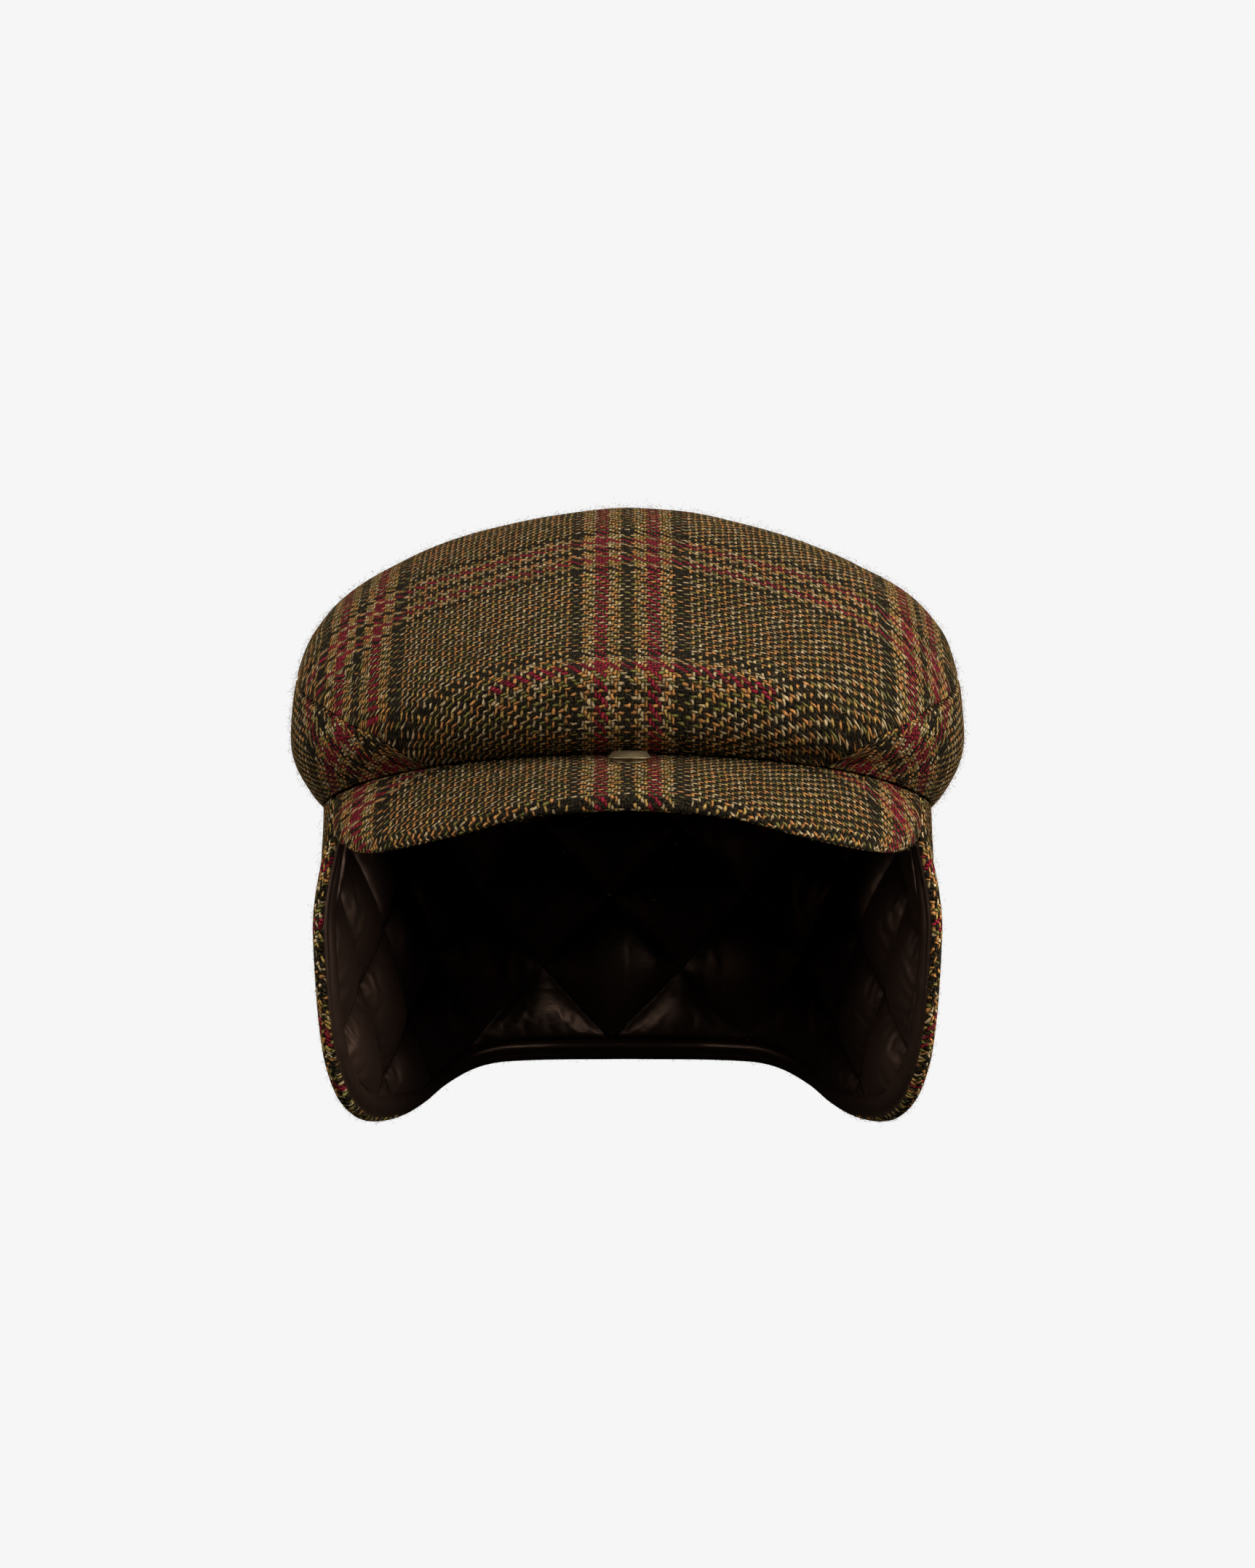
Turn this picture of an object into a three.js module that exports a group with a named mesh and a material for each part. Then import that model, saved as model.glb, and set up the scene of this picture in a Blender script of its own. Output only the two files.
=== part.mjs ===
// A driving cap with a padded ear and neck flap turned down, in millimetres.
// The front faces -Y, +X is the wearer's left and +Z is up. The origin is the centre of the
// head opening, on the plane where the crown meets the flap.
import * as THREE from 'three';

// ---- Cloth and clearances ------------------------------------------------------------------
const GAP = 0.3;                 // clearance between neighbouring pieces
const TWEED = 2.0;               // crown and flap cloth with its interfacing
const LINING_GAP = 0.9;          // clearance between the tweed and the lining inside it
const CROWN_LINING = 2.0;        // quilted lining of the crown
const FLAP_LINING = 2.6;         // padded quilted lining of the flap
const FACING = 1.7;              // plain strip round the flap's edge
const FACING_WIDTH = 7.4;        // its width
const FACING_INSET = 0.5;        // from the hem to the strip
const RIM_TURN = 0.16;           // share of the crown's height over which its edge turns level

// ---- Crown ---------------------------------------------------------------------------------
// One row for each ring of the crown, from the edge that meets the head to the top. A ring
// reaches halfWidth to each side, front towards -Y and back towards +Y. square is the exponent
// of its oval (2 is an ellipse), and arch is how steeply it drops from zFront to zSide.
const CROWN_RINGS = [
  { halfWidth: 86.8, front: 100.5, back: 100.5, zFront: 15.3, zSide: 0.0, zBack: 0.0, square: 2.25, arch: 1.6 },
  { halfWidth: 89.7, front: 105.2, back: 103.0, zFront: 16.9, zSide: 3.4, zBack: 4.2, square: 2.25, arch: 1.7 },
  { halfWidth: 93.3, front: 109.8, back: 105.6, zFront: 18.8, zSide: 9.6, zBack: 10.8, square: 2.25, arch: 2.1 },
  { halfWidth: 95.4, front: 112.0, back: 107.0, zFront: 22.6, zSide: 15.6, zBack: 18.0, square: 2.3, arch: 3.2 },
  { halfWidth: 95.9, front: 112.7, back: 107.5, zFront: 30.0, zSide: 20.6, zBack: 25.2, square: 2.35, arch: 6.0 },
  { halfWidth: 95.6, front: 111.6, back: 107.0, zFront: 37.4, zSide: 26.4, zBack: 32.6, square: 2.35, arch: 9.0 },
  { halfWidth: 95.0, front: 103.4, back: 104.6, zFront: 42.8, zSide: 34.4, zBack: 41.4, square: 2.35, arch: 6.0 },
  { halfWidth: 93.2, front: 90.8, back: 99.4, zFront: 48.9, zSide: 43.2, zBack: 50.2, square: 2.3, arch: 4.0 },
  { halfWidth: 89.5, front: 76.2, back: 91.4, zFront: 56.0, zSide: 51.8, zBack: 59.0, square: 2.25, arch: 3.0 },
  { halfWidth: 81.8, front: 59.6, back: 79.8, zFront: 64.3, zSide: 60.8, zBack: 67.6, square: 2.2, arch: 2.4 },
  { halfWidth: 68.2, front: 40.6, back: 63.4, zFront: 73.2, zSide: 69.4, zBack: 75.8, square: 2.12, arch: 2.0 },
  { halfWidth: 47.6, front: 19.4, back: 44.4, zFront: 80.6, zSide: 78.2, zBack: 81.8, square: 2.05, arch: 2.0 },
  { halfWidth: 24.2, front: -0.6, back: 28.0, zFront: 85.4, zSide: 84.6, zBack: 85.8, square: 2.0, arch: 2.0 },
  { halfWidth: 0.0, front: -13.6, back: 13.6, zFront: 87.0, zSide: 87.0, zBack: 87.0, square: 2.0, arch: 2.0 },
];

// The seam between the top panel and a side panel: its height up the crown, as a share of the
// rings, against the angle round the crown from the front.
const PANEL_SEAM = [
  { angle: 34, level: 0.0 },
  { angle: 42, level: 0.20 },
  { angle: 52, level: 0.335 },
  { angle: 64, level: 0.43 },
  { angle: 80, level: 0.485 },
  { angle: 100, level: 0.50 },
  { angle: 140, level: 0.48 },
  { angle: 180, level: 0.46 },
];
const SIDE_PANEL_START = 37.5;   // angle of a side panel's front tip
const SEAM_GAP_LEVEL = 0.004;    // clearance at the panel seam, as a share of the rings
const CROWN_SECTORS = 48;
const CROWN_STEPS = 13;
const SIDE_SECTORS = 19;

// ---- Peak ----------------------------------------------------------------------------------
const PEAK_THICKNESS = 4.2;
const PEAK_HALF_WIDTH = 81.5;    // at its ends
const PEAK_END_Y = -46;          // where its ends meet the crown's edge
const PEAK_REACH = 98.5;         // from its ends to the middle of its front edge
const PEAK_SQUARE = 2.2;         // exponent of its outline
const PEAK_ROOT_ANGLE = 60;      // angle round the crown where the peak ends
const PEAK_CROWNING = 1.4;       // how far its face bows up between root and edge
const PEAK_SECTORS = 32;
// Height of the middle of the front edge, against the turn round the peak's outline.
const PEAK_EDGE = [
  { turn: 0, z: 1.5 },
  { turn: 10, z: 0.7 },
  { turn: 20, z: -1.5 },
  { turn: 32, z: -5.7 },
  { turn: 48, z: -9.3 },
  { turn: 57, z: -10.4 },
  { turn: 67, z: -9.4 },
  { turn: 80, z: -5.6 },
  { turn: 90, z: 1.6 },
];
// Sections from the root to the rounded front edge: the share of the way, and of the thickness.
const PEAK_SECTIONS = [
  { out: 0.0, thick: 1.0 },
  { out: 0.16, thick: 1.0 },
  { out: 0.36, thick: 1.0 },
  { out: 0.56, thick: 1.0 },
  { out: 0.76, thick: 1.0 },
  { out: 0.92, thick: 0.98 },
  { out: 0.975, thick: 0.72 },
  { out: 1.0, thick: 0.3 },
];

// ---- Ear and neck flap -----------------------------------------------------------------------
// The flap's plan once it hangs clear of the crown, from the nape round one side to its front
// edge. along is the distance along the cloth from the nape.
const FLAP_PLAN = [
  { along: 0, x: 0, y: 98.2 },
  { along: 25, x: 25, y: 96.8 },
  { along: 46.5, x: 45.2, y: 89.6 },
  { along: 63, x: 57.2, y: 78.4 },
  { along: 81, x: 64.6, y: 62.0 },
  { along: 106, x: 72.8, y: 38.4 },
  { along: 133, x: 80.6, y: 12.6 },
  { along: 154, x: 85.6, y: -7.8 },
  { along: 169, x: 88.0, y: -22.6 },
  { along: 188, x: 89.4, y: -41.6 },
];
// The flap's free edge from the nape, round the lowest point behind the ear and up its front.
const FLAP_EDGE = [
  { way: 0, along: 0, z: -77.0 },
  { way: 38, along: 38, z: -77.5 },
  { way: 49, along: 49, z: -79.2 },
  { way: 64, along: 63.5, z: -84.0 },
  { way: 79, along: 78, z: -88.4 },
  { way: 95, along: 94, z: -91.2 },
  { way: 115, along: 114, z: -91.8 },
  { way: 131, along: 130, z: -89.8 },
  { way: 148, along: 146, z: -83.6 },
  { way: 166, along: 159.5, z: -72.5 },
  { way: 184, along: 169, z: -57.5 },
  { way: 203, along: 176, z: -40.0 },
  { way: 225, along: 182, z: -18.6 },
  { way: 248, along: 187, z: 3.4 },
];
const FLAP_CORNER_WAY = 156;     // where the flap's grid has its lower corner
const FLAP_SPREAD_DEPTH = 36;    // depth below the crown where the flap has its own plan
const FLAP_SECTORS = 44;
const FLAP_STEPS = 10;

// ---- Snap ----------------------------------------------------------------------------------
const SNAP_OUT = 0.245;          // its place, as a share of the way from the peak's root to its edge
const SNAP_X = 0.6;
const SNAP_SIDES = 16;
// Half sections of the two halves, with height above the peak's face.
const SNAP_STUD = [
  { radius: 4.2, height: 0.3 },
  { radius: 4.2, height: 0.6 },
  { radius: 2.2, height: 0.7 },
  { radius: 2.2, height: 0.9 },
];
const SNAP_SOCKET = [
  { radius: 5.3, height: 1.2 },
  { radius: 5.8, height: 1.35 },
  { radius: 5.8, height: 1.65 },
  { radius: 4.3, height: 2.7 },
  { radius: 3.9, height: 2.9 },
];

// ---- Finishes --------------------------------------------------------------------------------
const TWEED_CLOTH = new THREE.MeshStandardMaterial({ name: 'tweed', color: 0x5f5037, roughness: 0.95, side: THREE.DoubleSide });
const SATIN = new THREE.MeshStandardMaterial({ name: 'satin', color: 0x23160f, roughness: 0.45, side: THREE.DoubleSide });
const BRASS = new THREE.MeshStandardMaterial({ name: 'antique_brass', color: 0x8a7a55, roughness: 0.35, metalness: 1 });

const radians = THREE.MathUtils.degToRad;
const lerp = THREE.MathUtils.lerp;
const smoothstep = (value) => THREE.MathUtils.smoothstep(value, 0, 1);

/** Every column of a table at a value of its key column, on a smooth curve through its rows. */
function along(rows, key, value) {
  const last = rows.length - 1;
  const at = THREE.MathUtils.clamp(value, rows[0][key], rows[last][key]);
  let i = 0;
  while (i < last - 1 && rows[i + 1][key] < at) i += 1;
  const span = rows[i + 1][key] - rows[i][key];
  const t = (at - rows[i][key]) / span;
  const slope = (row, column) => {
    const before = Math.max(row - 1, 0);
    const after = Math.min(row + 1, last);
    return (rows[after][column] - rows[before][column]) / (rows[after][key] - rows[before][key]);
  };
  const found = {};
  for (const column of Object.keys(rows[0])) {
    const rise = rows[i + 1][column] - rows[i][column];
    const leave = slope(i, column) * span;
    const arrive = slope(i + 1, column) * span;
    found[column] = rows[i][column] + t * leave + t * t * (3 * rise - 2 * leave - arrive)
      + t * t * t * (leave + arrive - 2 * rise);
  }
  return found;
}

const RINGS = CROWN_RINGS.map((ring, i) => ({ ...ring, level: i / (CROWN_RINGS.length - 1) }));

/** A point of the crown's outside: angle in degrees from the front, level from edge 0 to top 1. */
function crownPoint(angle, level) {
  const ring = along(RINGS, 'level', level);
  const turn = radians(angle);
  const halfLength = (ring.front + ring.back) / 2;
  const middle = (ring.back - ring.front) / 2;
  const forward = Math.cos(turn);
  const side = Math.sin(turn);
  if (ring.halfWidth < 1e-6) return new THREE.Vector3(0, middle, ring.zSide);
  const size = (Math.abs(forward / halfLength) ** ring.square + Math.abs(side / ring.halfWidth) ** ring.square)
    ** (-1 / ring.square);
  const rise = forward > 0
    ? (ring.zFront - ring.zSide) * forward ** ring.arch
    : (ring.zBack - ring.zSide) * forward ** 2;
  return new THREE.Vector3(size * side, middle - size * forward, ring.zSide + rise);
}

/** The crown's outward direction, turned level at its lower edge. */
function crownOutward(angle, level) {
  const step = 0.004;
  const low = Math.max(level - step, 0);
  const high = Math.min(level + step, 0.995);
  const up = crownPoint(angle, Math.max(high, low + step)).sub(crownPoint(angle, low));
  const round = crownPoint(angle + 0.4, Math.min(level, 0.99)).sub(crownPoint(angle - 0.4, Math.min(level, 0.99)));
  const normal = level > 0.985 ? new THREE.Vector3(0, 0, 1) : round.cross(up).normalize();
  const flat = new THREE.Vector3(normal.x, normal.y, 0).normalize();
  return level > RIM_TURN ? normal : flat.lerp(normal, smoothstep(level / RIM_TURN)).normalize();
}

/** A point inside the crown's wall, depth inwards from its outside. */
function crownInside(angle, level, depth) {
  return crownPoint(angle, level).addScaledVector(crownOutward(angle, level), -depth);
}

/** The height of the panel seam, and 0 in front of it where the top panel reaches the edge. */
function seamLevel(angle) {
  const turn = Math.abs(THREE.MathUtils.euclideanModulo(angle + 180, 360) - 180);
  return turn <= PANEL_SEAM[0].angle ? 0 : Math.max(along(PANEL_SEAM, 'angle', turn).level, 0);
}

/**
 * A closed wall between two faces of one grid. place(i, j, face) gives the points of face 0, the
 * outside, and face 1, the inside. A ring grid closes on itself in i.
 */
function closedWall(columns, rows, place, ring = false) {
  const count = ring ? columns : columns + 1;
  const points = [];
  for (let face = 0; face < 2; face += 1) {
    for (let j = 0; j <= rows; j += 1) {
      for (let i = 0; i < count; i += 1) points.push(place(i, j, face));
    }
  }
  const at = (i, j, face) => face * count * (rows + 1) + j * count + (i % count);
  const corners = [];
  const triangle = (a, b, c) => {
    const same = (p, q) => points[p].distanceTo(points[q]) < 1e-4;
    if (!same(a, b) && !same(b, c) && !same(c, a)) corners.push(a, b, c);
  };
  const quad = (a, b, c, d) => {
    triangle(a, b, c);
    triangle(a, c, d);
  };
  for (let j = 0; j < rows; j += 1) {
    for (let i = 0; i < columns; i += 1) {
      quad(at(i, j, 0), at(i + 1, j, 0), at(i + 1, j + 1, 0), at(i, j + 1, 0));
      quad(at(i, j, 1), at(i, j + 1, 1), at(i + 1, j + 1, 1), at(i + 1, j, 1));
    }
  }
  for (let i = 0; i < columns; i += 1) {
    quad(at(i, 0, 0), at(i, 0, 1), at(i + 1, 0, 1), at(i + 1, 0, 0));
    quad(at(i, rows, 0), at(i + 1, rows, 0), at(i + 1, rows, 1), at(i, rows, 1));
  }
  if (!ring) {
    for (let j = 0; j < rows; j += 1) {
      quad(at(0, j, 0), at(0, j + 1, 0), at(0, j + 1, 1), at(0, j, 1));
      quad(at(columns, j, 0), at(columns, j, 1), at(columns, j + 1, 1), at(columns, j + 1, 0));
    }
  }
  const flat = corners.map((corner) => points[corner]);
  let volume = 0;
  for (let i = 0; i < flat.length; i += 3) {
    volume += flat[i].dot(new THREE.Vector3().crossVectors(flat[i + 1], flat[i + 2])) / 6;
  }
  if (volume < 0) {
    for (let i = 0; i < flat.length; i += 3) [flat[i + 1], flat[i + 2]] = [flat[i + 2], flat[i + 1]];
  }
  return new THREE.BufferGeometry().setFromPoints(flat);
}

const cap = new THREE.Group();

function addPiece(name, geometry, material) {
  geometry.computeVertexNormals();
  const piece = new THREE.Mesh(geometry, material);
  piece.name = name;
  cap.add(piece);
  return piece;
}

// ---- Crown pieces ------------------------------------------------------------------------------
// All crown walls share the same angles and levels, and a panel's rows past its seam close up.
function crownTop() {
  return closedWall(CROWN_SECTORS, CROWN_STEPS, (i, j, face) => {
    const angle = 360 * i / CROWN_SECTORS;
    const seam = seamLevel(angle);
    const low = seam > 0 ? seam + SEAM_GAP_LEVEL : 0;
    return crownInside(angle, Math.max(low, j / CROWN_STEPS), face * TWEED);
  }, true);
}

function crownSide(mirror) {
  const rows = Math.ceil(CROWN_STEPS * Math.max(...PANEL_SEAM.map((row) => row.level)));
  return closedWall(SIDE_SECTORS, rows, (i, j, face) => {
    const angle = lerp(SIDE_PANEL_START, 180, i / SIDE_SECTORS);
    const high = seamLevel(angle) - SEAM_GAP_LEVEL;
    const point = crownInside(angle, Math.min(high, j / CROWN_STEPS), face * TWEED);
    const fromMiddle = Math.max(i === SIDE_SECTORS ? 0 : point.x, GAP / 2);
    return new THREE.Vector3(mirror * fromMiddle, point.y, point.z);
  });
}

function crownLining() {
  return closedWall(CROWN_SECTORS, CROWN_STEPS, (i, j, face) => {
    const depth = TWEED + LINING_GAP + face * CROWN_LINING;
    return crownInside(360 * i / CROWN_SECTORS, j / CROWN_STEPS, depth);
  }, true);
}

// ---- Peak ----------------------------------------------------------------------------------------
/** A point of the peak: turn from -90 to 90 round it, out from root 0 to edge 1, above its middle. */
function peakPoint(turn, out, above) {
  const half = Math.abs(turn);
  const bend = 2 / PEAK_SQUARE;
  const rootAngle = half * PEAK_ROOT_ANGLE / 90;
  const root = crownInside(rootAngle, 0, TWEED / 2);
  root.z -= GAP + PEAK_THICKNESS / 2;
  const edge = new THREE.Vector3(
    PEAK_HALF_WIDTH * Math.sin(radians(half)) ** bend,
    PEAK_END_Y - PEAK_REACH * Math.abs(Math.cos(radians(half))) ** bend,
    along(PEAK_EDGE, 'turn', half).z,
  );
  const point = root.clone().lerp(edge, out);
  const width = root.distanceTo(edge);
  const bow = Math.min(PEAK_CROWNING, width / 20) * Math.sin(Math.PI * Math.min(out, 1));
  point.z += bow + above;
  return new THREE.Vector3(Math.sign(turn) * point.x, point.y, point.z);
}

function peak() {
  return closedWall(PEAK_SECTORS, PEAK_SECTIONS.length - 1, (i, j, face) => {
    const section = PEAK_SECTIONS[j];
    const turn = lerp(-90, 90, i / PEAK_SECTORS);
    return peakPoint(turn, section.out, (0.5 - face) * PEAK_THICKNESS * section.thick);
  });
}

// ---- Ear and neck flap -----------------------------------------------------------------------------
const RIM_STEP = 1;
const rimWay = [{ way: 0, angle: 180 }];
for (let angle = 180 - RIM_STEP; angle >= 50; angle -= RIM_STEP) {
  const before = rimWay[rimWay.length - 1];
  const step = crownPoint(angle, 0).setZ(0).distanceTo(crownPoint(before.angle, 0).setZ(0));
  rimWay.push({ way: before.way + step, angle });
}

/** The flap's plan at a distance along the cloth and a height, on the flap's outside. */
function flapPlan(distance, z) {
  const side = distance < 0 ? -1 : 1;
  const far = Math.abs(distance);
  const rim = crownPoint(along(rimWay, 'way', far).angle, 0);
  const low = along(FLAP_PLAN, 'along', far);
  const share = smoothstep(-z / FLAP_SPREAD_DEPTH);
  return new THREE.Vector3(side * lerp(rim.x, low.x, share), lerp(rim.y, low.y, share), z);
}

/** A point inside the flap's wall, depth inwards and level from its outside. */
function flapPoint(distance, z, depth) {
  const step = 0.5;
  const run = flapPlan(distance + step, z).sub(flapPlan(distance - step, z));
  const inwards = new THREE.Vector3(-run.y, run.x, 0).normalize();
  const point = flapPlan(distance, z);
  if (inwards.dot(point) > 0) inwards.negate();
  return point.addScaledVector(inwards, depth);
}

/** The height of the flap's sewn top, just below the crown's edge. */
function flapTop(distance) {
  return crownPoint(along(rimWay, 'way', Math.abs(distance)).angle, 0).z - GAP;
}

/** A point of the flap's free edge, in distance along the cloth and height, moved inwards. */
function flapEdge(way, inset) {
  const at = along(FLAP_EDGE, 'way', way);
  const before = along(FLAP_EDGE, 'way', way - 1);
  const after = along(FLAP_EDGE, 'way', way + 1);
  const run = new THREE.Vector2(after.along - before.along, after.z - before.z).normalize();
  return new THREE.Vector2(at.along - run.y * inset, at.z + run.x * inset);
}

/** How far round the free edge, moved inwards, its front reaches the flap's top. */
function topWay(inset) {
  let way = FLAP_EDGE[FLAP_EDGE.length - 1].way;
  for (let round = 0; round < 12; round += 1) {
    const end = flapEdge(way, inset);
    way -= end.y - flapTop(end.x);
  }
  return way;
}

/** A grid point of the flap, across from nape 0 to front 1 and down from top 0 to hem 1. */
function flapGrid(across, down, inset) {
  const lastWay = topWay(inset);
  const end = flapEdge(lastWay, inset);
  const topAt = (share) => new THREE.Vector2(end.x * share, flapTop(end.x * share));
  const hemAt = (share) => flapEdge(FLAP_CORNER_WAY * share, inset);
  const frontAt = (share) => flapEdge(lerp(lastWay, FLAP_CORNER_WAY, share), inset);
  const napeAt = (share) => topAt(0).lerp(hemAt(0), share);
  const blend = (a, b, share) => a.clone().lerp(b, share);
  const corners = blend(blend(topAt(0), topAt(1), across), blend(hemAt(0), hemAt(1), across), down);
  return blend(topAt(across), hemAt(across), down).add(blend(napeAt(down), frontAt(down), across)).sub(corners);
}

/** A wall of the flap between two depths, its edge moved inwards by inset. */
function flapWall(inset, depth, thickness) {
  return closedWall(FLAP_SECTORS, FLAP_STEPS, (i, j, face) => {
    const across = lerp(-1, 1, i / FLAP_SECTORS);
    const at = flapGrid(Math.abs(across), j / FLAP_STEPS, inset);
    return flapPoint(Math.sign(across) * at.x, at.y, depth + face * thickness);
  });
}

/** The facing runs round the free edge, with a station at each of the flap grid's edge points. */
function flapFacing() {
  const hemSteps = FLAP_SECTORS / 2;
  const half = hemSteps + FLAP_STEPS;
  return closedWall(2 * half, 1, (i, j, face) => {
    const station = Math.abs(i - half);
    const inset = FACING_INSET + j * FACING_WIDTH;
    const way = station < hemSteps
      ? FLAP_CORNER_WAY * station / hemSteps
      : lerp(FLAP_CORNER_WAY, topWay(inset), (station - hemSteps) / FLAP_STEPS);
    const at = flapEdge(way, inset);
    return flapPoint(Math.sign(i - half) * at.x, at.y, TWEED + LINING_GAP + face * FACING);
  });
}

// ---- Snap ------------------------------------------------------------------------------------------
/** One half of the snap, turned from its half section and set on the slope of the peak. */
function snapHalf(section) {
  const outline = section.map((row) => new THREE.Vector2(row.radius, row.height));
  const bottom = new THREE.Vector2(0, section[0].height);
  const top = new THREE.Vector2(0, section[section.length - 1].height);
  const half = new THREE.LatheGeometry([bottom, ...outline, top], SNAP_SIDES);
  const seat = peakPoint(0, SNAP_OUT, PEAK_THICKNESS / 2);
  const ahead = peakPoint(0, SNAP_OUT + 0.01, PEAK_THICKNESS / 2);
  const slope = Math.atan2(seat.z - ahead.z, seat.y - ahead.y);
  half.rotateX(radians(90) + slope);
  half.translate(SNAP_X, seat.y, seat.z);
  return half;
}

addPiece('crown_top', crownTop(), TWEED_CLOTH);
addPiece('crown_side_left', crownSide(1), TWEED_CLOTH);
addPiece('crown_side_right', crownSide(-1), TWEED_CLOTH);
addPiece('crown_lining', crownLining(), SATIN);
addPiece('peak', peak(), TWEED_CLOTH);
addPiece('flap', flapWall(0, 0, TWEED), TWEED_CLOTH);
addPiece('flap_lining', flapWall(FACING_INSET + FACING_WIDTH + GAP, TWEED + LINING_GAP, FLAP_LINING), SATIN);
addPiece('flap_facing', flapFacing(), SATIN);
addPiece('snap_stud', snapHalf(SNAP_STUD), BRASS);
addPiece('snap_socket', snapHalf(SNAP_SOCKET), BRASS);

export default cap;
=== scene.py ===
"""The looks of a tweed driving cap with a quilted ear and neck flap.

Lengths in this file are millimetres until a mesh is written, which is in metres. The front of
the cap faces -Y, +X is the wearer's left, and the head opening's centre is the origin.
"""

from __future__ import annotations

import logging
import math
from dataclasses import dataclass, field
from enum import Enum
from typing import Callable, Sequence

import bmesh
import bpy
import numpy as np
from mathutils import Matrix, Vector, noise


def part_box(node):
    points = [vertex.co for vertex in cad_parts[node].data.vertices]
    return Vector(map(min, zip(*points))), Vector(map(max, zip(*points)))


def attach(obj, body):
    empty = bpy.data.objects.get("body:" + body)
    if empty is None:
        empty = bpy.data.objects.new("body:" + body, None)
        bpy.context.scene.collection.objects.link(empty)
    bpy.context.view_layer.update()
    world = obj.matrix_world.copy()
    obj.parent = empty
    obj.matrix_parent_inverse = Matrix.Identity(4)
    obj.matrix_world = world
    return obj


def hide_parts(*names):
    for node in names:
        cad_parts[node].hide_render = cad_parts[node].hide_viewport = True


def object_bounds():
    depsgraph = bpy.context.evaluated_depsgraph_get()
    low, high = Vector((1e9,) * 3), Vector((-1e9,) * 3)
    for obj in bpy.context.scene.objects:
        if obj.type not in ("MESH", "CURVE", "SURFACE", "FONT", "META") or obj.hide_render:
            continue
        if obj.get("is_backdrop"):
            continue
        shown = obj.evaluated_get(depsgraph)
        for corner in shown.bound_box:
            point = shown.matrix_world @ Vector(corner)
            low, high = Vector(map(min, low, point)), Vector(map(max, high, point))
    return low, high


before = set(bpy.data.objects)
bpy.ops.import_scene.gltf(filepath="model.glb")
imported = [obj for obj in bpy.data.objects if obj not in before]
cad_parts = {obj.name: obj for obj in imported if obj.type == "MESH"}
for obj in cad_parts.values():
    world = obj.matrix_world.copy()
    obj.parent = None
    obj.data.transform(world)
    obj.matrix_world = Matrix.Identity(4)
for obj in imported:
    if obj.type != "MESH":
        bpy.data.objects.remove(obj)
CAD_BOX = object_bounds()

LOG = logging.getLogger("cap")
MM = 0.001
UV_CLOTH = "cloth"

Array = np.ndarray
Colour = tuple[float, float, float, float]
Piece = bpy.types.Object
Socket = bpy.types.NodeSocket
Placed = tuple[Array, Array]

LEVEL = np.array([1.0, 1.0, 0.0])  # keeps the level part of a direction
HEAD_CENTRE = np.array([0.0, 0.0, 20.0])  # inside the head's room: linings face it, the crown faces away


# ---------------------------------------------------------------------------------------------
# Smooth tables and small vector helpers
# ---------------------------------------------------------------------------------------------
@dataclass(frozen=True)
class Table:
    """Smooth curves through the rows of a table, all against its first column."""

    columns: tuple[str, ...]
    rows: tuple[tuple[float, ...], ...]

    def at(self, value: Array | float) -> dict[str, Array]:
        """Reads every column at values of the first.

        Args:
            value: The first column's values, clamped to the table's own.
        Returns:
            The other columns by name.
        """
        data = np.array(self.rows, float)
        key = data[:, 0]
        last = len(key) - 1
        where = np.clip(np.asarray(value, float), key[0], key[last])
        i = np.clip(np.searchsorted(key, where, side="right") - 1, 0, last - 1)
        span = key[i + 1] - key[i]
        t = (where - key[i]) / span
        before = np.maximum(np.arange(last + 1) - 1, 0)
        after = np.minimum(np.arange(last + 1) + 1, last)
        found = {}
        for column, name in enumerate(self.columns[1:], start=1):
            y = data[:, column]
            slope = (y[after] - y[before]) / (key[after] - key[before])
            rise = y[i + 1] - y[i]
            leave = slope[i] * span
            arrive = slope[i + 1] * span
            bend = t * t * (3 * rise - 2 * leave - arrive) + t**3 * (leave + arrive - 2 * rise)
            found[name] = y[i] + t * leave + bend
        return found


def smoothstep(value: Array) -> Array:
    """Eases 0 to 1."""
    t = np.clip(value, 0, 1)
    return t * t * (3 - 2 * t)


def mix(a: Array, b: Array, share: Array) -> Array:
    """Goes from a to b by share."""
    return a + (b - a) * share


def unit(v: Array) -> Array:
    """Gives rows of length 1."""
    return v / np.maximum(np.linalg.norm(v, axis=-1, keepdims=True), 1e-9)


def stack(*parts: Array) -> Array:
    """Joins coordinates into rows of points."""
    return np.stack(np.broadcast_arrays(*parts), axis=-1)


def side_of(place: Array) -> Array:
    """Gives -1 on the wearer's right, where places are below 0, and 1 elsewhere."""
    return np.where(place < 0, -1, 1)


def lumps(points: Array, size: float, seed: float) -> Array:
    """Soft noise from -1 to 1.

    Args:
        points: Rows of points.
        size: How far apart the lumps are.
        seed: Moves the pattern.
    Returns:
        One value a point.
    """
    shift = Vector((seed, -seed, 2 * seed))
    return np.array([noise.noise(Vector(p) / size + shift) for p in points.reshape(-1, 3)])


@dataclass(frozen=True)
class Slack:
    """Soft lumps in loose cloth: how high they are, how far apart, and what moves their pattern."""

    height: float
    size: float
    seed: float


def slackness(points: Array, layers: Sequence[Slack]) -> Array:
    """Adds up layers of lumps into one height a point."""
    return sum(layer.height * lumps(points, layer.size, layer.seed) for layer in layers)


# ---------------------------------------------------------------------------------------------
# Forms: where the surfaces lie
# ---------------------------------------------------------------------------------------------
@dataclass(frozen=True)
class Crease:
    """A fold pressed into the crown between two of its points, as angle and level."""

    start: tuple[float, float]
    end: tuple[float, float]
    width: float
    depth: float


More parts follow.
